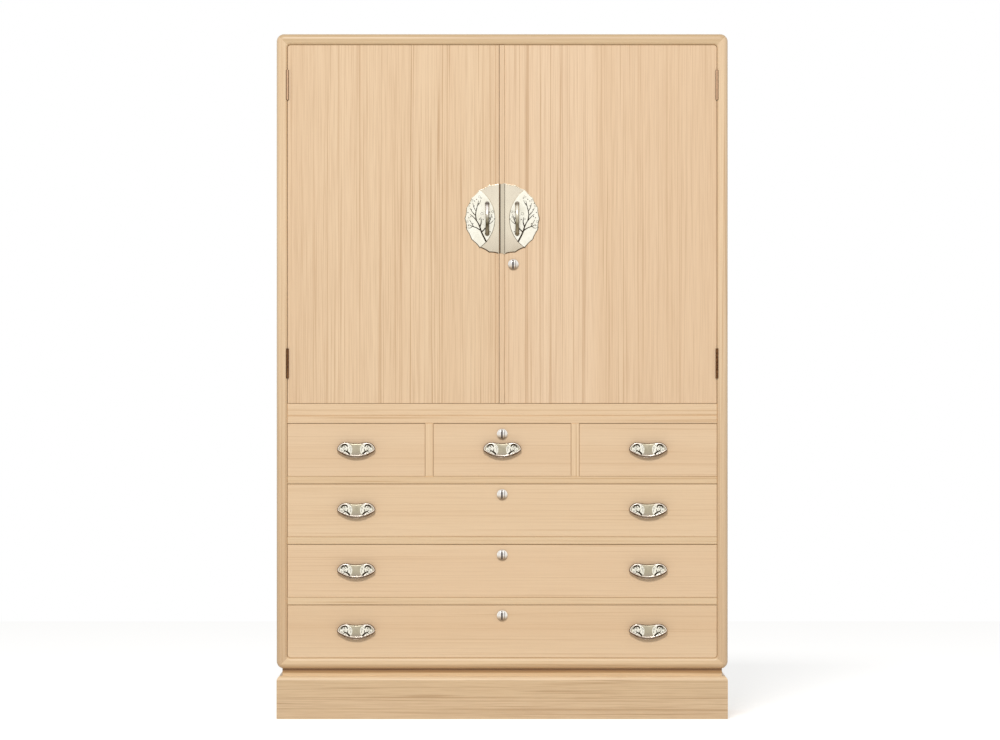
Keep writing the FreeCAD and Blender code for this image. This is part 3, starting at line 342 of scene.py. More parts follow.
# the flat of the plate: satin, with a painted reflection by height, bright beside the handles
# and greyer at its foot, and darker on the cover; its upright brush lines are drawn coarser than
# real ones, to show close up
nickel, tree, shader = finish_for("satin_nickel_silver")
tones = height_ramp(tree, PLATE_Z, [
    (-86, "#b9ad98"), (-60, "#cdc1ad"), (-30, "#dad0bb"), (30, "#ded4bf"), (86, "#d9cfbc"),
])
tones = {0: clouds(tree, 40, high=0.6), 6: tones, 7: linear("#d2c8b5")}
tones = add(tree, "ShaderNodeMix", tones, data_type="RGBA").outputs[2]
across = add(tree, "ShaderNodeTexCoord").outputs["Object"]
across = add(tree, "ShaderNodeSeparateXYZ", [across]).outputs["X"]
across = add(tree, "ShaderNodeMath", [across], operation="ABSOLUTE").outputs[0]
near_joint = add(tree, "ShaderNodeMapRange", [across, 6.2 * MM, 7.2 * MM, 0.55, 0]).outputs[0]
tones = add(tree, "ShaderNodeMix", {0: near_joint, 6: tones, 7: linear("#b3a792")}, data_type="RGBA")
tree.links.new(tones.outputs[2], shader.inputs["Base Color"])
tree.links.new(clouds(tree, 0.6, 2, 0.26, 0.3, (1, 1, 0.05)), shader.inputs["Roughness"])
shader.inputs["Metallic"].default_value = 1
dress(nickel, "left_door_plate", "right_door_plate")

# silver plate blasted to an even frost, near white with a trace of warmth and no clear
# reflections; the grit is drawn coarser than real blasting, to show close up
frosted, tree, shader = finish_for("frosted_silver_plate")
tones = {0: clouds(tree, 22), 6: linear("#edeadd"), 7: linear("#e3dfcf")}
tones = add(tree, "ShaderNodeMix", tones, data_type="RGBA")
tree.links.new(tones.outputs[2], shader.inputs["Base Color"])
tree.links.new(clouds(tree, 0.45, low=0.45, high=0.6), shader.inputs["Roughness"])
bump = {"Height": clouds(tree, 0.45), "Strength": 0.2, "Distance": 0.1 * MM}
tree.links.new(add(tree, "ShaderNodeBump", bump).outputs["Normal"], shader.inputs["Normal"])
shader.inputs["Metallic"].default_value = 0.35

# copper blackened with sulphur, matt like bark
copper, tree, shader = finish_for("blackened_copper")
tones = {0: clouds(tree, 1.1, 3), 6: linear("#1e170e"), 7: linear("#3f3322")}
tones = add(tree, "ShaderNodeMix", tones, data_type="RGBA")
tree.links.new(tones.outputs[2], shader.inputs["Base Color"])
tree.links.new(clouds(tree, 1.1, 3, 0.45, 0.65), shader.inputs["Roughness"])
shader.inputs["Metallic"].default_value = 0.85

# the beaded edge, with painted light and shade: bright above and brown below
bead_painted_light, tree, shader = finish_for("edge_bead_painted_light")
tones = height_ramp(tree, PLATE_Z, [
    (-86, "#4a3a28"), (-45, "#4f3f29"), (5, "#7a694b"), (35, "#c9bda4"), (86, "#f6efe0"),
])
tones = {0: clouds(tree, 3), 6: tones, 7: linear("#c4b49a")}
tones = add(tree, "ShaderNodeMix", tones, data_type="RGBA", blend_type="MULTIPLY")
tree.links.new(tones.outputs[2], shader.inputs["Base Color"])
tree.links.new(clouds(tree, 3, low=0.3, high=0.45), shader.inputs["Roughness"])
shader.inputs["Metallic"].default_value = 0.8


def scallop(degrees):
    """How far the plate's edge dips at an angle: a parabola between each two points."""
    share = degrees / (360 / SCALLOPS) % 1
    return SCALLOP_DIP * (1 - (2 * share - 1) ** 2)


def field_edges(v):
    """How far out a field starts and ends at a height v, from the two circles that bound it.

    The inner edge is the circle whose middle lies FIELD_SHIFT further out. The outer edge is the
    plate's own circle with its scallops, both a little inside the raised step.
    """
    inner = FIELD_SHIFT - np.sqrt(np.maximum((PLATE_RADIUS - 1.3) ** 2 - v**2, 0))
    outer = np.sqrt(np.maximum((PLATE_RADIUS - 1.6) ** 2 - v**2, 0))
    return inner, np.maximum(outer - scallop(np.degrees(np.arctan2(v, outer))), inner)


def field_lift(u, v):
    """How far a field stands off the plate's raised step: a pillow that rises from its edges.

    The lift is the crown times (4 s (1 - s)) ** 0.3 for a share s of the way across, and it fades
    by 1 - (v / 72) ** 4 towards the field's two tips.
    """
    inner, outer = field_edges(v)
    across = np.clip(4 * (u - inner) * (outer - u) / np.maximum(outer - inner, 1e-6) ** 2, 0, 1)
    return FIELD_CROWN * across**0.3 * np.clip(1 - (v / 72) ** 4, 0, 1)


def laid_line(side, path, widths, height, lift_of, z_mid, face, x_mid):
    """A tapered bar half sunk in a face: an ellipse carried along a smoothed path.

    path holds distance out and height in mm. It is refined three times by corner cutting, then
    each point gets an ellipse as wide as the taper and as thick as height.
    """
    path, widths = np.array(path, float), np.array(widths, float)
    for _ in range(3):
        both = np.column_stack([path, widths])
        cut = np.stack([0.75 * both[:-1] + 0.25 * both[1:], 0.25 * both[:-1] + 0.75 * both[1:]], axis=1)
        both = np.concatenate([both[:1], cut.reshape(-1, 3), both[-1:]])
        path, widths = both[:, :2], both[:, 2]
    along = np.gradient(path, axis=0)
    along /= np.linalg.norm(along, axis=1, keepdims=True)
    turn = np.linspace(0, 2 * np.pi, 12, endpoint=False)
    sideways = np.stack([-along[:, 1], along[:, 0]], axis=1)
    flat = path[:, None] + sideways[:, None] * (np.cos(turn) * 0.5)[None, :, None] * widths[:, None, None]
    swell = height * (widths / widths.max()) ** 0.5
    proud = lift_of(path[:, 0], path[:, 1])[:, None] + np.sin(turn)[None] * swell[:, None]
    x = side * (x_mid + flat[..., 0])
    return np.stack([x, face - proud, z_mid + flat[..., 1]], axis=-1)


def bud(side, u, v, radius, lift_of, z_mid, face, x_mid):
    """A round bud, as a low lens: rings of a half ellipsoid about its middle."""
    turn = np.linspace(0, 2 * np.pi, 10, endpoint=False)
    rise = np.linspace(-0.9, 0.9, 5)
    reach = radius * np.sqrt(1 - rise**2)
    x = side * (x_mid + u + reach[:, None] * np.cos(turn))
    z = z_mid + v + reach[:, None] * np.sin(turn)
    y = face - lift_of(np.array([u]), np.array([v]))[0] - radius * 0.6 * rise[:, None]
    return np.stack([x, np.broadcast_to(y, x.shape), z], axis=-1)


def blossom(side, u, v, radius, lift_of, z_mid, face, x_mid):
    """A five-petalled flower in line: a wire closed round radius * (0.72 + 0.28 |cos|)."""
    turn = np.linspace(0, 2 * np.pi, 41)
    reach = radius * (0.72 + 0.28 * np.abs(np.cos(2.5 * turn)))
    section = np.linspace(0, 2 * np.pi, 6, endpoint=False)
    wire = 0.3
    r = reach[:, None] + wire * np.cos(section)
    out, up = u + r * np.cos(turn)[:, None], v + r * np.sin(turn)[:, None]
    proud = lift_of(out, up) + wire * np.sin(section)
    return np.stack([side * (x_mid + out), face - proud, z_mid + up], axis=-1)


# the bough in mm out from the plate's middle and up: its paths with their widths, its flowers
# with their radii, and its buds
BOUGH = [
    ([(33, -57), (40, -44), (46, -31), (49, -20), (54, -9), (61, 0), (67, 6), (73, 11)],
     (4.2, 3.9, 3.6, 3.2, 2.6, 2.0, 1.6, 1.0)),
    ([(57, -5), (60, 8), (58, 20), (55, 31), (52, 44)], (2.8, 2.4, 2.0, 1.6, 1.0)),
    ([(58, 18), (64, 27), (66, 38)], (1.8, 1.4, 0.9)),
    ([(60, 8), (68, 16), (73, 26)], (1.8, 1.4, 0.9)),
    ([(56, 30), (49, 38), (47, 46)], (1.5, 1.2, 0.8)),
    ([(49, -20), (45, -8), (47, 3)], (3.2, 2.4, 1.3)),
    ([(47, -29), (57, -22), (67, -19), (77, -14)], (2.9, 2.3, 1.8, 1.0)),
    ([(64, -20), (70, -10), (74, -3)], (1.8, 1.4, 0.9)),
    ([(67, -19), (74, -24), (79, -22)], (1.5, 1.2, 0.8)),
    ([(45, -33), (36, -24), (28, -13), (23, -1), (20, 11)], (3.2, 2.6, 2.2, 1.8, 1.0)),
    ([(29, -14), (21, -10), (16, -4)], (1.8, 1.4, 0.9)),
    ([(24, -3), (29, 5), (29, 13)], (1.6, 1.3, 0.8)),
    ([(36, -24), (32, -30), (27, -31)], (1.5, 1.2, 0.8)),
]
BLOSSOMS = [
    (44, 12, 3.4), (50, 53, 2.8), (76, 31, 2.6), (80, -7, 2.6), (18, 17, 2.8), (68, 45, 2.6),
    (31, 21, 2.4),
]
BUDS = [
    (63, 31), (70, 22), (52, 36), (46, 50), (57, 47), (71, 5), (64, 13), (77, -17), (82, -21),
    (66, -12), (76, 2), (14, -1), (25, 2), (26, 16), (19, 4), (24, -32), (41, -2), (50, -1),
    (57, 24), (62, 43), (73, 37), (78, 15),
]
LINE_HEIGHT, BUD_RADIUS = 0.6, 1.3
BEAD_INSET, BEAD_WIDTH, BEAD_HEIGHT = 1.2, 2.4, 0.8
FIELD_RIM_WIDTH, FIELD_RIM_HEIGHT = 1.2, 0.5
# how far out the scalloped edge's bead starts on the left and on the right half
BEAD_STARTS = {-1: 3.4, 1: 1.6}
COVER_HALF, COVER_LINE_HEIGHT = 84.3, 0.3
# where the cover's two painted shadow lines lie, with their widths
COVER_SHADOW_LINES = {-10.6: 2.2, 0.6: 1.1}


def level(lift):
    """A lift that is the same everywhere."""
    return lambda u, v: np.full(np.broadcast(u, v).shape, float(lift))


for side, word in ((-1, "left"), (1, "right")):
    # the field: rows across at heights that crowd at its tips, closed by a flat row behind
    v = FIELD_TOP * np.sin(np.linspace(-np.pi / 2, np.pi / 2, 161))
    inner, outer = field_edges(v)
    share = (1 - np.cos(np.linspace(0, np.pi, 33))) / 2
    u = inner[:, None] + (outer - inner)[:, None] * share[None]
    top = field_lift(u, np.broadcast_to(v[:, None], u.shape))
    loop_u = np.concatenate([u, u[:, -2:0:-1]], axis=1)
    loop_lift = np.concatenate([top, np.full_like(top[:, 1:-1], -0.1)], axis=1)
    loop_v = np.broadcast_to(v[:, None], loop_u.shape)
    rings = np.stack([side * (PLATE_MID + loop_u), FIELD_FACE - loop_lift, PLATE_Z + loop_v], axis=-1)
    mesh_piece(f"{word}_plate_field", frosted, f"{word}_door", [rings[1:-1]])
    on_field = (field_lift, PLATE_Z, FIELD_FACE, PLATE_MID)
    lines = [laid_line(side, path, widths, LINE_HEIGHT, *on_field) for path, widths in BOUGH]
    lines += [blossom(side, *place, *on_field) for place in BLOSSOMS]
    lines += [bud(side, *place, BUD_RADIUS, *on_field) for place in BUDS]
    mesh_piece(f"{word}_plate_plum", copper, f"{word}_door", lines)

    # beads along the scalloped edge and the field's inner edge
    angle = np.linspace(-90, 90, 121)
    reach = PLATE_RADIUS - BEAD_INSET - scallop(angle)
    edge = np.stack([reach * np.cos(np.radians(angle)), reach * np.sin(np.radians(angle))], axis=1)
    edge = edge[edge[:, 0] > BEAD_STARTS[side]]
    field_rim = np.stack([field_edges(v[1:-1:4])[0], v[1:-1:4]], axis=1)
    on_plate = (level(0), PLATE_Z, PLATE_FACE, PLATE_MID)
    on_step = (level(0), PLATE_Z, FIELD_FACE, PLATE_MID)
    beads = [
        laid_line(side, edge, np.full(len(edge), BEAD_WIDTH), BEAD_HEIGHT, *on_plate),
        laid_line(side, field_rim, np.full(len(field_rim), FIELD_RIM_WIDTH), FIELD_RIM_HEIGHT, *on_step),
    ]
    mesh_piece(f"{word}_plate_bead", bead_painted_light, f"{word}_door", beads)

# painted shadow lines, in dark copper, along the edges of the cover that closes the joint between the two
# halves
on_cover = (level(0), PLATE_Z, COVER_FACE, PLATE_MID)
shadow_lines = [
    laid_line(1, [(u, -COVER_HALF), (u, COVER_HALF)], (wide, wide), COVER_LINE_HEIGHT, *on_cover)
    for u, wide in COVER_SHADOW_LINES.items()
]
mesh_piece("right_plate_cover_shadow_lines", copper, "right_door", shadow_lines)


# ---- Bow pulls ----
# Two cast bars, bent like a bow and screwed through the plates from behind. They are silvered,
# and a painted reflection leaves the upper half bright and the lower half and the ends dark.
BOW_PAINTED_REFLECTION = {
    "left": [
        (-42, "#746a58"), (-30, "#857c68"), (-14, "#4a422f"), (0, "#a59e88"), (18, "#f4efeb"),
        (29, "#fffaf7"), (36, "#7b7472"), (42, "#9a938d"),
    ],
    "right": [
        (-42, "#80765f"), (-30, "#8e8570"), (-14, "#726953"), (0, "#c4bca6"), (18, "#f5f0e2"),
        (29, "#f5efdf"), (36, "#8f877c"), (42, "#a39b90"),
    ],
}


def bow_silver(word):
    """Silver over bronze, with a painted reflection: bright above, dark below, and darker on its flanks."""
    material, tree, shader = finish_for(f"silvered_bronze_painted_reflection_{word}")
    tones = height_ramp(tree, PLATE_Z, BOW_PAINTED_REFLECTION[word])
    tones = {0: turned_away(tree, 0.2, 0.75, 0.75), 6: tones, 7: linear("#5f574a")}
    tones = add(tree, "ShaderNodeMix", tones, data_type="RGBA").outputs[2]
    tones = {0: clouds(tree, 2, 3), 6: tones, 7: linear("#e8e4dd")}
    tones = add(tree, "ShaderNodeMix", tones, data_type="RGBA", blend_type="MULTIPLY")
    tree.links.new(tones.outputs[2], shader.inputs["Base Color"])
    tree.links.new(clouds(tree, 2, 3, 0.16, 0.3), shader.inputs["Roughness"])
    shader.inputs["Metallic"].default_value = 1
    return material


BOW_SHIFT, BOW_HALF, BOW_RISE = 36.5, 36.25, 16.9
WAIST, END, FOOT = 4.1, 5.25, 5.75
foot_profile = np.array([
    (FOOT, 0.3), (FOOT, -0.8), (FOOT - 0.3, -1.6), (END + 0.1, -2.2), (END, -3.2), (3.6, -4.6), (1.2, -5.2),
])

# the bar: circles square to an arc through the feet, their radius WAIST + (END - WAIST) share ** 2
bow_radius = (BOW_HALF**2 + BOW_RISE**2) / (2 * BOW_RISE)
share = np.linspace(-1, 1, 73)
angle = share * np.arcsin(BOW_HALF / bow_radius)
thick = WAIST + (END - WAIST) * share**2
turn = np.linspace(0, 2 * np.pi, 36, endpoint=False)
forward = bow_radius - BOW_RISE - bow_radius * np.cos(angle)
spoke = np.stack([np.cos(turn) * thick[:, None], np.sin(turn) * thick[:, None]], axis=-1)
y = forward[:, None] + spoke[..., 1] * -np.cos(angle)[:, None]
z = (bow_radius * np.sin(angle))[:, None] + spoke[..., 1] * np.sin(angle)[:, None]
bar = np.stack([spoke[..., 0], FIELD_FACE + np.minimum(y, 0.2), PLATE_Z + z], axis=-1)
feet = []
for end in (-BOW_HALF, BOW_HALF):
    x = foot_profile[:, :1] * np.cos(turn)
    foot_y = np.broadcast_to(FIELD_FACE + foot_profile[:, 1:], x.shape)
    feet.append(np.stack([x, foot_y, PLATE_Z + end + foot_profile[:, :1] * np.sin(turn)], axis=-1))
for side, word in ((-1, "left"), (1, "right")):
    skins = [skin + [side * BOW_SHIFT, 0, 0] for skin in (bar, *feet)]
    pull = mesh_piece(f"{word}_bow_pull", bow_silver(word), f"{word}_door", skins)
    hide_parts(f"{word}_door_pull")


# ---- Drawer fronts and boxes ----
# Fronts faced with level ash veneer, one flitch to a row, and lacquered like the case. The boxes
# behind them are bare paulownia.
rows = {
    "small_left": ("#e9cca8", "#e2c29c", 1.7),
    "small_middle": ("#e9cca8", "#e2c29c", 1.7),
    "small_right": ("#e9cca8", "#e2c29c", 1.7),
    "wide_upper": ("#e9cca7", "#e2c29b", 2.3),
    "wide_middle": ("#eacda8", "#e3c29c", 3.7),
    "wide_lower": ("#e8cba6", "#e0bf98", 4.1),
}
for drawer, (pale, deep, shift) in rows.items():
    veneer = straight_grain(f"lacquered_ash_{drawer}", LEVEL, pale, deep, "#b98e5c", 8, 0.08, 0.04, shift)
    dress(veneer, f"{drawer}_front")
    dress(paulownia, f"{drawer}_box")


# ---- Cup pulls ----
# Castings with two round lobes, hollow behind so that fingertips reach up behind the lip. Each
# lobe has a frosted field with a plum spray, and one bead, with a painted highlight along its
# ridge, runs round both lobes and belly.
def cup_silver(name, z_mm):
    """Grey satin silver with painted shade: greyer at its foot and brown where it bends back to the drawer.
    """
    material, tree, shader = finish_for(f"grey_silver_painted_shade_{name}")
    tones = height_ramp(tree, z_mm, [
        (-14, "#94897f"), (-7, "#99907f"), (0, "#a59d86"), (12, "#a8a08a"), (18, "#b3a993"),
    ])
    tones = {0: clouds(tree, 8, high=0.6), 6: tones, 7: linear("#a59c88")}
    tones = add(tree, "ShaderNodeMix", tones, data_type="RGBA").outputs[2]
    tones = {0: turned_away(tree, 0.7, 0.97), 6: tones, 7: linear("#5f4a39")}
    tones = add(tree, "ShaderNodeMix", tones, data_type="RGBA")
    tree.links.new(tones.outputs[2], shader.inputs["Base Color"])
    tree.links.new(clouds(tree, 8, low=0.26, high=0.38), shader.inputs["Roughness"])
    shader.inputs["Metallic"].default_value = 1
    return material


# the bead's silver, with a painted highlight along its ridge and painted shade on its flanks
rim_silver, tree, shader = finish_for("rim_silver_painted_highlight")
tones = {0: clouds(tree, 3), 6: linear("#e9dfd4"), 7: linear("#d5c9bd")}
tones = add(tree, "ShaderNodeMix", tones, data_type="RGBA").outputs[2]
tones = {0: turned_away(tree, 0.05, 0.5), 6: tones, 7: linear("#8d7a68")}
tones = add(tree, "ShaderNodeMix", tones, data_type="RGBA")
tree.links.new(tones.outputs[2], shader.inputs["Base Color"])
tree.links.new(clouds(tree, 3, low=0.22, high=0.34), shader.inputs["Roughness"])
shader.inputs["Metallic"].default_value = 1

# a lobe's radius, how far out its middle lies, the cup's height, how far its top dips between
# the lobes, and the radius of the belly's arc
CUP_LOBE, CUP_SHIFT, CUP_HEIGHT, CUP_DIP, BELLY = 20, 27, 37, 2.5, 70
LOBE_Z = CUP_HEIGHT / 2 - CUP_LOBE


def cup_outline():
    """The cup's outline: top, right end, belly and left end, as a closed loop of points.

    Between the lobes the top dips by a cosine and the belly is an arc. Beyond a lobe's middle the
    reach at each angle is the softened smaller of the lobe's and the belly's circle.
    """
    x = np.linspace(-CUP_SHIFT, CUP_SHIFT, 61)
    top = LOBE_Z + CUP_LOBE - CUP_DIP * np.cos(np.pi * x / (2 * CUP_SHIFT)) ** 2
    belly_mid = -CUP_HEIGHT / 2 + BELLY
    belly = belly_mid - np.sqrt(BELLY**2 - x**2)
    angle = np.linspace(np.pi / 2, -np.pi / 2, 53)[1:-1]
    a, b = np.cos(angle), np.sin(angle)
    k = a * CUP_SHIFT + b * (LOBE_Z - belly_mid)
    gap = CUP_SHIFT**2 + (LOBE_Z - belly_mid) ** 2 - BELLY**2
    arc = -k + np.sqrt(np.maximum(k**2 - gap, 0))
    reach = (float(CUP_LOBE) ** -14 + arc**-14) ** (-1 / 14)
    end = np.stack([CUP_SHIFT + reach * a, LOBE_Z + reach * b], axis=1)
    return np.concatenate([np.stack([x, top], 1), end, np.stack([x, belly], 1)[::-1], end[::-1] * [-1, 1]])


# for each outline point: INWARD is its way in, SPINE its place on the line between the lobes'
# middles, OPEN 1 where the rim stops short of the drawer and 0 where it stands on it, DROP 0 near
# the top to 1 near the belly, and BEVEL how far the face's edge is drawn in
OUTLINE = cup_outline()
step = np.roll(OUTLINE, -1, axis=0) - np.roll(OUTLINE, 1, axis=0)
INWARD = np.stack([step[:, 1], -step[:, 0]], axis=1) / np.linalg.norm(step, axis=1, keepdims=True)
SPINE = np.stack([np.clip(OUTLINE[:, 0], -CUP_SHIFT, CUP_SHIFT), np.full(len(OUTLINE), LOBE_Z)], axis=1)
OPEN = np.clip((-OUTLINE[:, 1] - 6) / 5, 0, 1) * np.clip((CUP_SHIFT + 4 - np.abs(OUTLINE[:, 0])) / 5, 0, 1)
OPEN = OPEN * OPEN * (3 - 2 * OPEN)
DROP = np.clip((3 - OUTLINE[:, 1]) / 18, 0, 1)
BEVEL = 2.6 + 2.9 * DROP

# how far off the drawer the casting stands: at the mouth, where the rim starts to bend, at the
# face's edge and how much more at its crown; then the hollow's middle, its edge and the mouth's top
MOUTH, LIP, CUP_FACE, CUP_CROWN = 10.5, 9.6, 14.0, 0.9
HOLLOW, HOLLOW_EDGE, MOUTH_TOP = 12.6, 11.4, 10.6
CUP_WALL = 2.2


def cup_shell():
    """Rings of the hollow casting: from inside the crown out over the rim and up to the crown.

    A ring is the outline drawn in along its normals and pushed forward; the first and last rings
    close on the line between the lobes' middles. The rim stands on the drawer, except along the
    belly, where it stops short of the drawer by the mouth. The rim bends forward as a quarter
    ellipse at the top, and as a flatter bevel, 1 - (1 - share) ** 1.7, towards the belly.
    """
    mouth = MOUTH * OPEN
    flat = np.zeros(len(OUTLINE))
    inside = OUTLINE + INWARD * CUP_WALL
    rings = []
    for share in (0.03, 0.3, 0.6, 0.85):
        rings.append((SPINE + (inside - SPINE) * share, flat + HOLLOW - 0.6 * share**2))
    rings.append((inside, flat + HOLLOW_EDGE))
    rings.append((inside, np.minimum(mouth, MOUTH_TOP)))
    rings.append((OUTLINE + INWARD * 1.9, np.maximum(mouth - 0.3, 0)))
    rings.append((OUTLINE + INWARD * 0.4, np.maximum(mouth - 0.3, 0)))
    rings.append((OUTLINE, mouth))
    foot = np.maximum(mouth, LIP)
    for share in np.linspace(0, 1, 10):
        bend = share * np.pi / 2
        drawn_in = BEVEL * ((1 - DROP) * (1 - np.cos(bend)) + DROP * share)
        rise = (1 - DROP) * np.sin(bend) + DROP * (1 - (1 - share) ** 1.7)
        rings.append((OUTLINE + INWARD * drawn_in[:, None], foot + (CUP_FACE - foot) * rise))
    crown = OUTLINE + INWARD * BEVEL[:, None]
    for share in (0.93, 0.8, 0.6, 0.35, 0.15, 0.03):
        rings.append((SPINE + (crown - SPINE) * share, flat + CUP_FACE + CUP_CROWN * (1 - share**2)))
    return np.array([np.column_stack([line[:, 0], -proud, line[:, 1]]) for line, proud in rings])


LOBE_X, FIELD_Z, FIELD_RADIUS = 24.2, 0.8, 15.7
# the pillow's profile: share of the reach and height off the drawer, from behind round to its top
FIELD_PROFILE = [
    (0.05, 13.2), (0.98, 13.2), (1.0, 13.6), (1.0, 14.4), (0.97, 14.8), (0.9, 15.0), (0.6, 15.2),
    (0.3, 15.3), (0.05, 15.3),
]


def cup_field(side):
    """A frosted round field on one lobe: rings of a pillow, closed behind.

    Its reach at each angle is the softened smaller of its own circle and the edge of the face.
    """
    turn = np.linspace(0, 2 * np.pi, 64, endpoint=False)
    edge = (OUTLINE + INWARD * (BEVEL - 0.2)[:, None])[OUTLINE[:, 0] > 0] - [LOBE_X, FIELD_Z]
    edge_turn = np.mod(np.arctan2(edge[:, 1], edge[:, 0]), 2 * np.pi)
    order = np.argsort(edge_turn)
    room = np.interp(turn, edge_turn[order], np.hypot(edge[:, 0], edge[:, 1])[order], period=2 * np.pi)
    reach = (room**-10.0 + float(FIELD_RADIUS) ** -10) ** -0.1
    share, lift = np.array(FIELD_PROFILE).T[..., None]
    x = side * (LOBE_X + reach * share * np.cos(turn))
    return np.stack([x, np.broadcast_to(-lift, x.shape), FIELD_Z + reach * share * np.sin(turn)], axis=-1)


def cup_rim():
    """The raised bead that runs from one lobe's top round the ends and the belly to the other's.

    It follows the edge of the face, 1.5 mm wide at the belly's middle, 2.3 mm round the ends, and
    thins out over its last points. The saddle between the lobes has none.
    """
    saddle_from, saddle_points = 44, 27
    ring = np.roll(OUTLINE + INWARD * (BEVEL - 0.3)[:, None], -saddle_from, axis=0)[:-saddle_points]
    widths = 1.5 + 0.8 * np.clip(np.abs(ring[:, 0]) / 18, 0, 1)
    widths[:8] = widths[:-9:-1] = np.linspace(0.8, 2.3, 8)
    return laid_line(1, ring[::3], widths[::3], 0.9, level(14.3), 0, 0, 0)


# the spray on a lobe, in mm out from the cup's middle and up
SPRAY = [
    ([(15.5, -11), (18, -7), (22, -3.8), (27, -1.5), (31, 1)], (4.0, 4.4, 3.8, 3.0, 1.6)),
    ([(22, -3.8), (20.5, 0), (20, 4)], (2.6, 2.1, 1.2)),
    ([(21.5, 7), (21.8, 11.5), (27, 14), (33, 12), (37, 6)], (2.0, 3.6, 4.2, 3.8, 2.0)),
    ([(27, -1.5), (30, -5), (34, -6)], (1.8, 1.4, 0.9)),
    ([(30, 12.5), (28, 8), (25, 6)], (1.8, 1.5, 0.9)),
]
SPRAY_BLOSSOMS = [(31.5, 6, 2.6), (14, 6, 2.2), (35, -1, 2)]
SPRAY_BUDS = [(13, -2), (17, 11), (25, 2), (29, 3), (25, -8), (13, 1)]
SPRAY_LIFT, SPRAY_HEIGHT, SPRAY_BUD_RADIUS = 15.2, 0.45, 0.9

CUP_PLACE = 355.8333
cups = {
    "small_left_pull": ("small_left_drawer", [-1]),
    "small_middle_pull": ("small_middle_drawer", [0]),
    "small_right_pull": ("small_right_drawer", [1]),
    "wide_lower_pulls": ("wide_lower_drawer", [-1, 1]),
    "wide_middle_pulls": ("wide_middle_drawer", [-1, 1]),
    "wide_upper_pulls": ("wide_upper_drawer", [-1, 1]),
}
shell = cup_shell()
fields = [cup_field(-1), cup_field(1)]
rim = cup_rim()
for node, (body, places) in cups.items():
    low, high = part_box(node)
    mid_z = (low.z + high.z) / 2 / MM
    spots = [np.array([place * CUP_PLACE, FRONT, mid_z]) for place in places]
    casting = [shell + spot for spot in spots]
    cup = mesh_piece(f"{node}_casting", cup_silver(node, mid_z), body, casting)
    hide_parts(node)
    pillows = [field + spot for field in fields for spot in spots]
    mesh_piece(f"{node}_fields", frosted, body, pillows)
    mesh_piece(f"{node}_rims", rim_silver, body, [rim + spot for spot in spots])
    lines = []
    for spot in spots:
        on_cup = (level(SPRAY_LIFT), spot[2], FRONT, 0)
        for side in (-1, 1):
            twigs = [laid_line(side, path, widths, SPRAY_HEIGHT, *on_cup) for path, widths in SPRAY]
            twigs += [blossom(side, *place, *on_cup) for place in SPRAY_BLOSSOMS]
            twigs += [bud(side, *place, SPRAY_BUD_RADIUS, *on_cup) for place in SPRAY_BUDS]
            lines += [twig + [spot[0], 0, 0] for twig in twigs]
    mesh_piece(f"{node}_plum", copper, body, lines)


# ---- Locks ----
# A silvered dome on the key plug, turned on a lathe, with a key slot across it and a fine line
# where its shutter meets the dome. Behind the board: a folded steel case and a brass bolt.
def lock_silver(name, z_mm):
    """Bright silver plate with painted shade: brown towards a dome's foot and rim, and darker where it
    turns from the front.
    """
    material, tree, shader = finish_for(f"silver_plate_{name}_lock")
    tones = height_ramp(tree, z_mm, [
        (-13, "#76614a"), (-8, "#a08c75"), (-3, "#c9bfb2"), (1, "#e6e2dc"), (9, "#e6e2dc"), (13, "#cabdb0"),
    ])
    tones = {0: turned_away(tree, 0.3, 0.9), 6: tones, 7: linear("#7c6c5a")}
    tones = add(tree, "ShaderNodeMix", tones, data_type="RGBA")
    tree.links.new(tones.outputs[2], shader.inputs["Base Color"])
    tree.links.new(clouds(tree, 3, low=0.16, high=0.28), shader.inputs["Roughness"])
    shader.inputs["Metallic"].default_value = 1
    return material


# the slot's depth as painted shade: a dark, dull mark laid over the dome
slot_painted_shade, tree, shader = finish_for("key_slot_painted_shade")
tones = {0: clouds(tree, 0.8, 1), 6: linear("#382e2a"), 7: linear("#4a403b")}
tones = add(tree, "ShaderNodeMix", tones, data_type="RGBA")
tree.links.new(tones.outputs[2], shader.inputs["Base Color"])
shader.inputs["Roughness"].default_value = 0.6

# zinc plated sheet, cold grey with a faint spangle of crystals
lock_steel, tree, shader = finish_for("zinc_plated_steel")
place = add(tree, "ShaderNodeTexCoord").outputs["Object"]
spangle = add(tree, "ShaderNodeTexVoronoi", {"Vector": place, "Scale": 260}).outputs["Color"]
tones = add(tree, "ShaderNodeMix", {0: 0.12, 6: linear("#b9b7b0"), 7: spangle}, data_type="RGBA")
tree.links.new(tones.outputs[2], shader.inputs["Base Color"])
shader.inputs["Roughness"].default_value = 0.4
shader.inputs["Metallic"].default_value = 1

# drawn brass, filed smooth and a little tarnished, warm beside the steel
bolt_brass, tree, shader = finish_for("drawn_brass")
tones = {0: clouds(tree, 1.4), 6: linear("#b9974e"), 7: linear("#d6b76c")}
tones = add(tree, "ShaderNodeMix", tones, data_type="RGBA")
tree.links.new(tones.outputs[2], shader.inputs["Base Color"])
tree.links.new(clouds(tree, 1.4, low=0.25, high=0.4), shader.inputs["Roughness"])
shader.inputs["Metallic"].default_value = 1

DOME_RADIUS, DOME_BASE, DOME_RISE = 12.7, 1.2, 5.0
SLOT_X, SLOT_HALF_WIDTH, SLOT_HALF_LENGTH = -0.7, 2.1, 11.2
SHUTTER_X, SHUTTER_BEND, SHUTTER_HALF_WIDTH, SHUTTER_HALF_LENGTH = 5.6, 1.0, 0.55, 9.6
MARK_HEIGHT = 0.12


def over_dome(points, lift):
    """Points laid over the dome about the lock's middle, lifted off it by lift."""
    spread = np.clip(np.hypot(points[..., 0], points[..., 1]) / DOME_RADIUS, 0, 1)
    y = -DOME_BASE - DOME_RISE * np.sqrt(1 - spread**2) - lift
    return np.stack([points[..., 0], y, points[..., 1]], axis=-1)


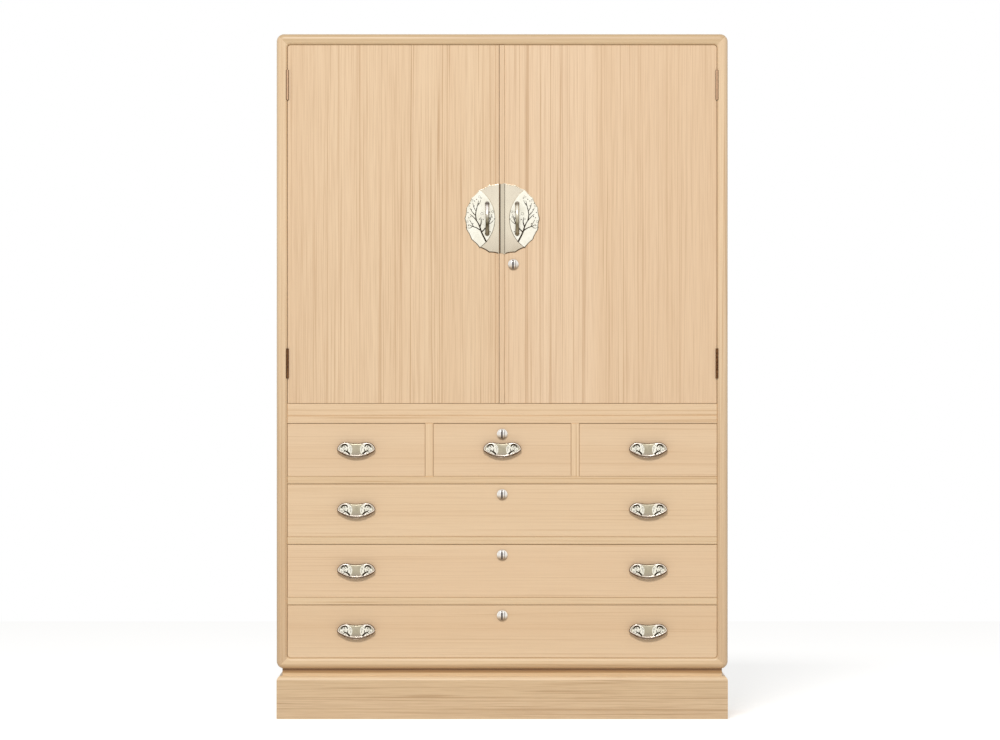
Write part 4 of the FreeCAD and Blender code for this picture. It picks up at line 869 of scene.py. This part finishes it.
# the dome: a quarter ellipse turned round the lock's middle, above a short straight foot
turn = np.linspace(0, 2 * np.pi, 48, endpoint=False)
bend = np.linspace(0, np.pi / 2, 15)[:-1]
radius = np.concatenate([[DOME_RADIUS], DOME_RADIUS * np.cos(bend), [0.3]])
proud = np.concatenate([[0.3], DOME_BASE + DOME_RISE * np.sin(bend), [DOME_BASE + DOME_RISE]])
x = radius[:, None] * np.cos(turn)
dome = np.stack([x, np.broadcast_to(-proud[:, None], x.shape), radius[:, None] * np.sin(turn)], axis=-1)

# the slot and the shutter's line: ellipses along the height, half width * sqrt(1 - along ** 6)
along = np.linspace(-1, 1, 25)[:, None]
section = np.linspace(0, 2 * np.pi, 10, endpoint=False)
taper = np.sqrt(np.clip(1 - along**6, 0.01, 1)) * np.cos(section)
slit_up = np.broadcast_to(SLOT_HALF_LENGTH * along, taper.shape)
slit = np.stack([SLOT_X + SLOT_HALF_WIDTH * taper, slit_up], axis=-1)
line_up = np.broadcast_to(SHUTTER_HALF_LENGTH * along, taper.shape)
line_x = SHUTTER_X - SHUTTER_BEND * along**2 + SHUTTER_HALF_WIDTH * taper
line = np.stack([line_x, line_up], axis=-1)
locks = {
    "door": (27, 1108.5),
    "small_middle": (0, 695),
    "wide_upper": (0, 547.5),
    "wide_middle": (0, 400),
    "wide_lower": (0, 252.5),
}
for name, (x_mid, z_mid) in locks.items():
    plug = f"{name}_key_plug"
    spot = [x_mid, FRONT, z_mid]
    silver = lock_silver(name, z_mid)
    mesh_piece(f"{name}_lock_dome", silver, plug, [dome + spot])
    marks = [over_dome(mark, MARK_HEIGHT * np.sin(section)) + spot for mark in (slit, line)]
    mesh_piece(f"{name}_key_slot", slot_painted_shade, plug, marks)
    dress(silver, plug)
    dress(lock_steel, f"{name}_lock")
    dress(bolt_brass, f"{name}_bolt")


# ---- Studio ----
# A plain pale floor and background, soft light from above and in front, and a far camera square
# to the doors, which sees 2.437 mm to a pixel on the front of the chest.
def seen_directly(tree):
    """1 for what the camera sees, also by way of metal or glass, and 0 for scattered light."""
    rays = add(tree, "ShaderNodeLightPath").outputs
    seen = [rays["Is Camera Ray"], rays["Is Glossy Ray"]]
    seen = add(tree, "ShaderNodeMath", seen, operation="MAXIMUM").outputs[0]
    return add(tree, "ShaderNodeMath", [seen, rays["Is Transmission Ray"]], operation="MAXIMUM").outputs[0]


def studio_paint(name, code, glow):
    """White paint whose own colour shows to the camera and in metal, with its shadows kept."""
    material, tree, shader = finish_for(name)
    shader.inputs["Base Color"].default_value = linear(code)
    shader.inputs["Roughness"].default_value = 0.9
    shader.inputs["Specular IOR Level"].default_value = 0
    lit = add(tree, "ShaderNodeEmission", {"Color": (1, 1, 1, 1), "Strength": glow}).outputs[0]
    both = add(tree, "ShaderNodeAddShader", [shader.outputs[0], lit]).outputs[0]
    mixed = add(tree, "ShaderNodeMixShader", [seen_directly(tree), shader.outputs[0], both])
    tree.links.new(mixed.outputs[0], tree.nodes["Material Output"].inputs["Surface"])
    return material


floor_mesh = bpy.data.meshes.new("floor")
floor_mesh.from_pydata([(-9, -9, 0), (9, -9, 0), (9, 6, 0), (-9, 6, 0)], [], [(0, 1, 2, 3)])
floor_mesh.materials.append(studio_paint("studio_floor", "#f2f1ef", 0.5))
floor = bpy.data.objects.new("floor", floor_mesh)
bpy.context.scene.collection.objects.link(floor)

# the background: white to the camera, and a dimmer fill light on the chest
world = bpy.data.worlds.new("studio")
bpy.context.scene.world = world
world.use_nodes = True
tree = world.node_tree
strength = add(tree, "ShaderNodeMapRange", [seen_directly(tree), 0, 1, 0.44, 1.0]).outputs[0]
tree.links.new(strength, tree.nodes["Background"].inputs["Strength"])
tree.nodes["Background"].inputs["Color"].default_value = (1, 1, 1, 1)

# one square softbox high on the left
KEY_PLACE, KEY_AIM = Vector((-0.8, -9.5, 7.2)), Vector((0, -0.2, 0.8))
key = bpy.data.objects.new("key_softbox", bpy.data.lights.new("key_softbox", "AREA"))
key.data.size, key.data.energy = 1.7, 640
key.location = KEY_PLACE
key.rotation_euler = (KEY_AIM - KEY_PLACE).to_track_quat("-Z", "Y").to_euler()
bpy.context.scene.collection.objects.link(key)

MM_PER_PIXEL, DISTANCE, SENSOR, WIDTH_IN_PIXELS = 2.4374, 16.0, 36.0, 1000
AIM_LEFT_IN_PIXELS, AIM_HEIGHT, CHEST_FRONT = 2.2, 0.851, -0.225
camera = bpy.data.objects.new("camera", bpy.data.cameras.new("camera"))
bpy.context.scene.collection.objects.link(camera)
camera.location = (-AIM_LEFT_IN_PIXELS * MM_PER_PIXEL * MM, CHEST_FRONT - DISTANCE, AIM_HEIGHT)
camera.rotation_euler = (np.pi / 2, 0, 0)
camera.data.sensor_width = SENSOR
camera.data.lens = SENSOR * DISTANCE / (WIDTH_IN_PIXELS * MM_PER_PIXEL * MM)
camera.data.clip_end = 60
bpy.context.scene.camera = camera
bpy.context.scene.view_settings.view_transform = "Standard"
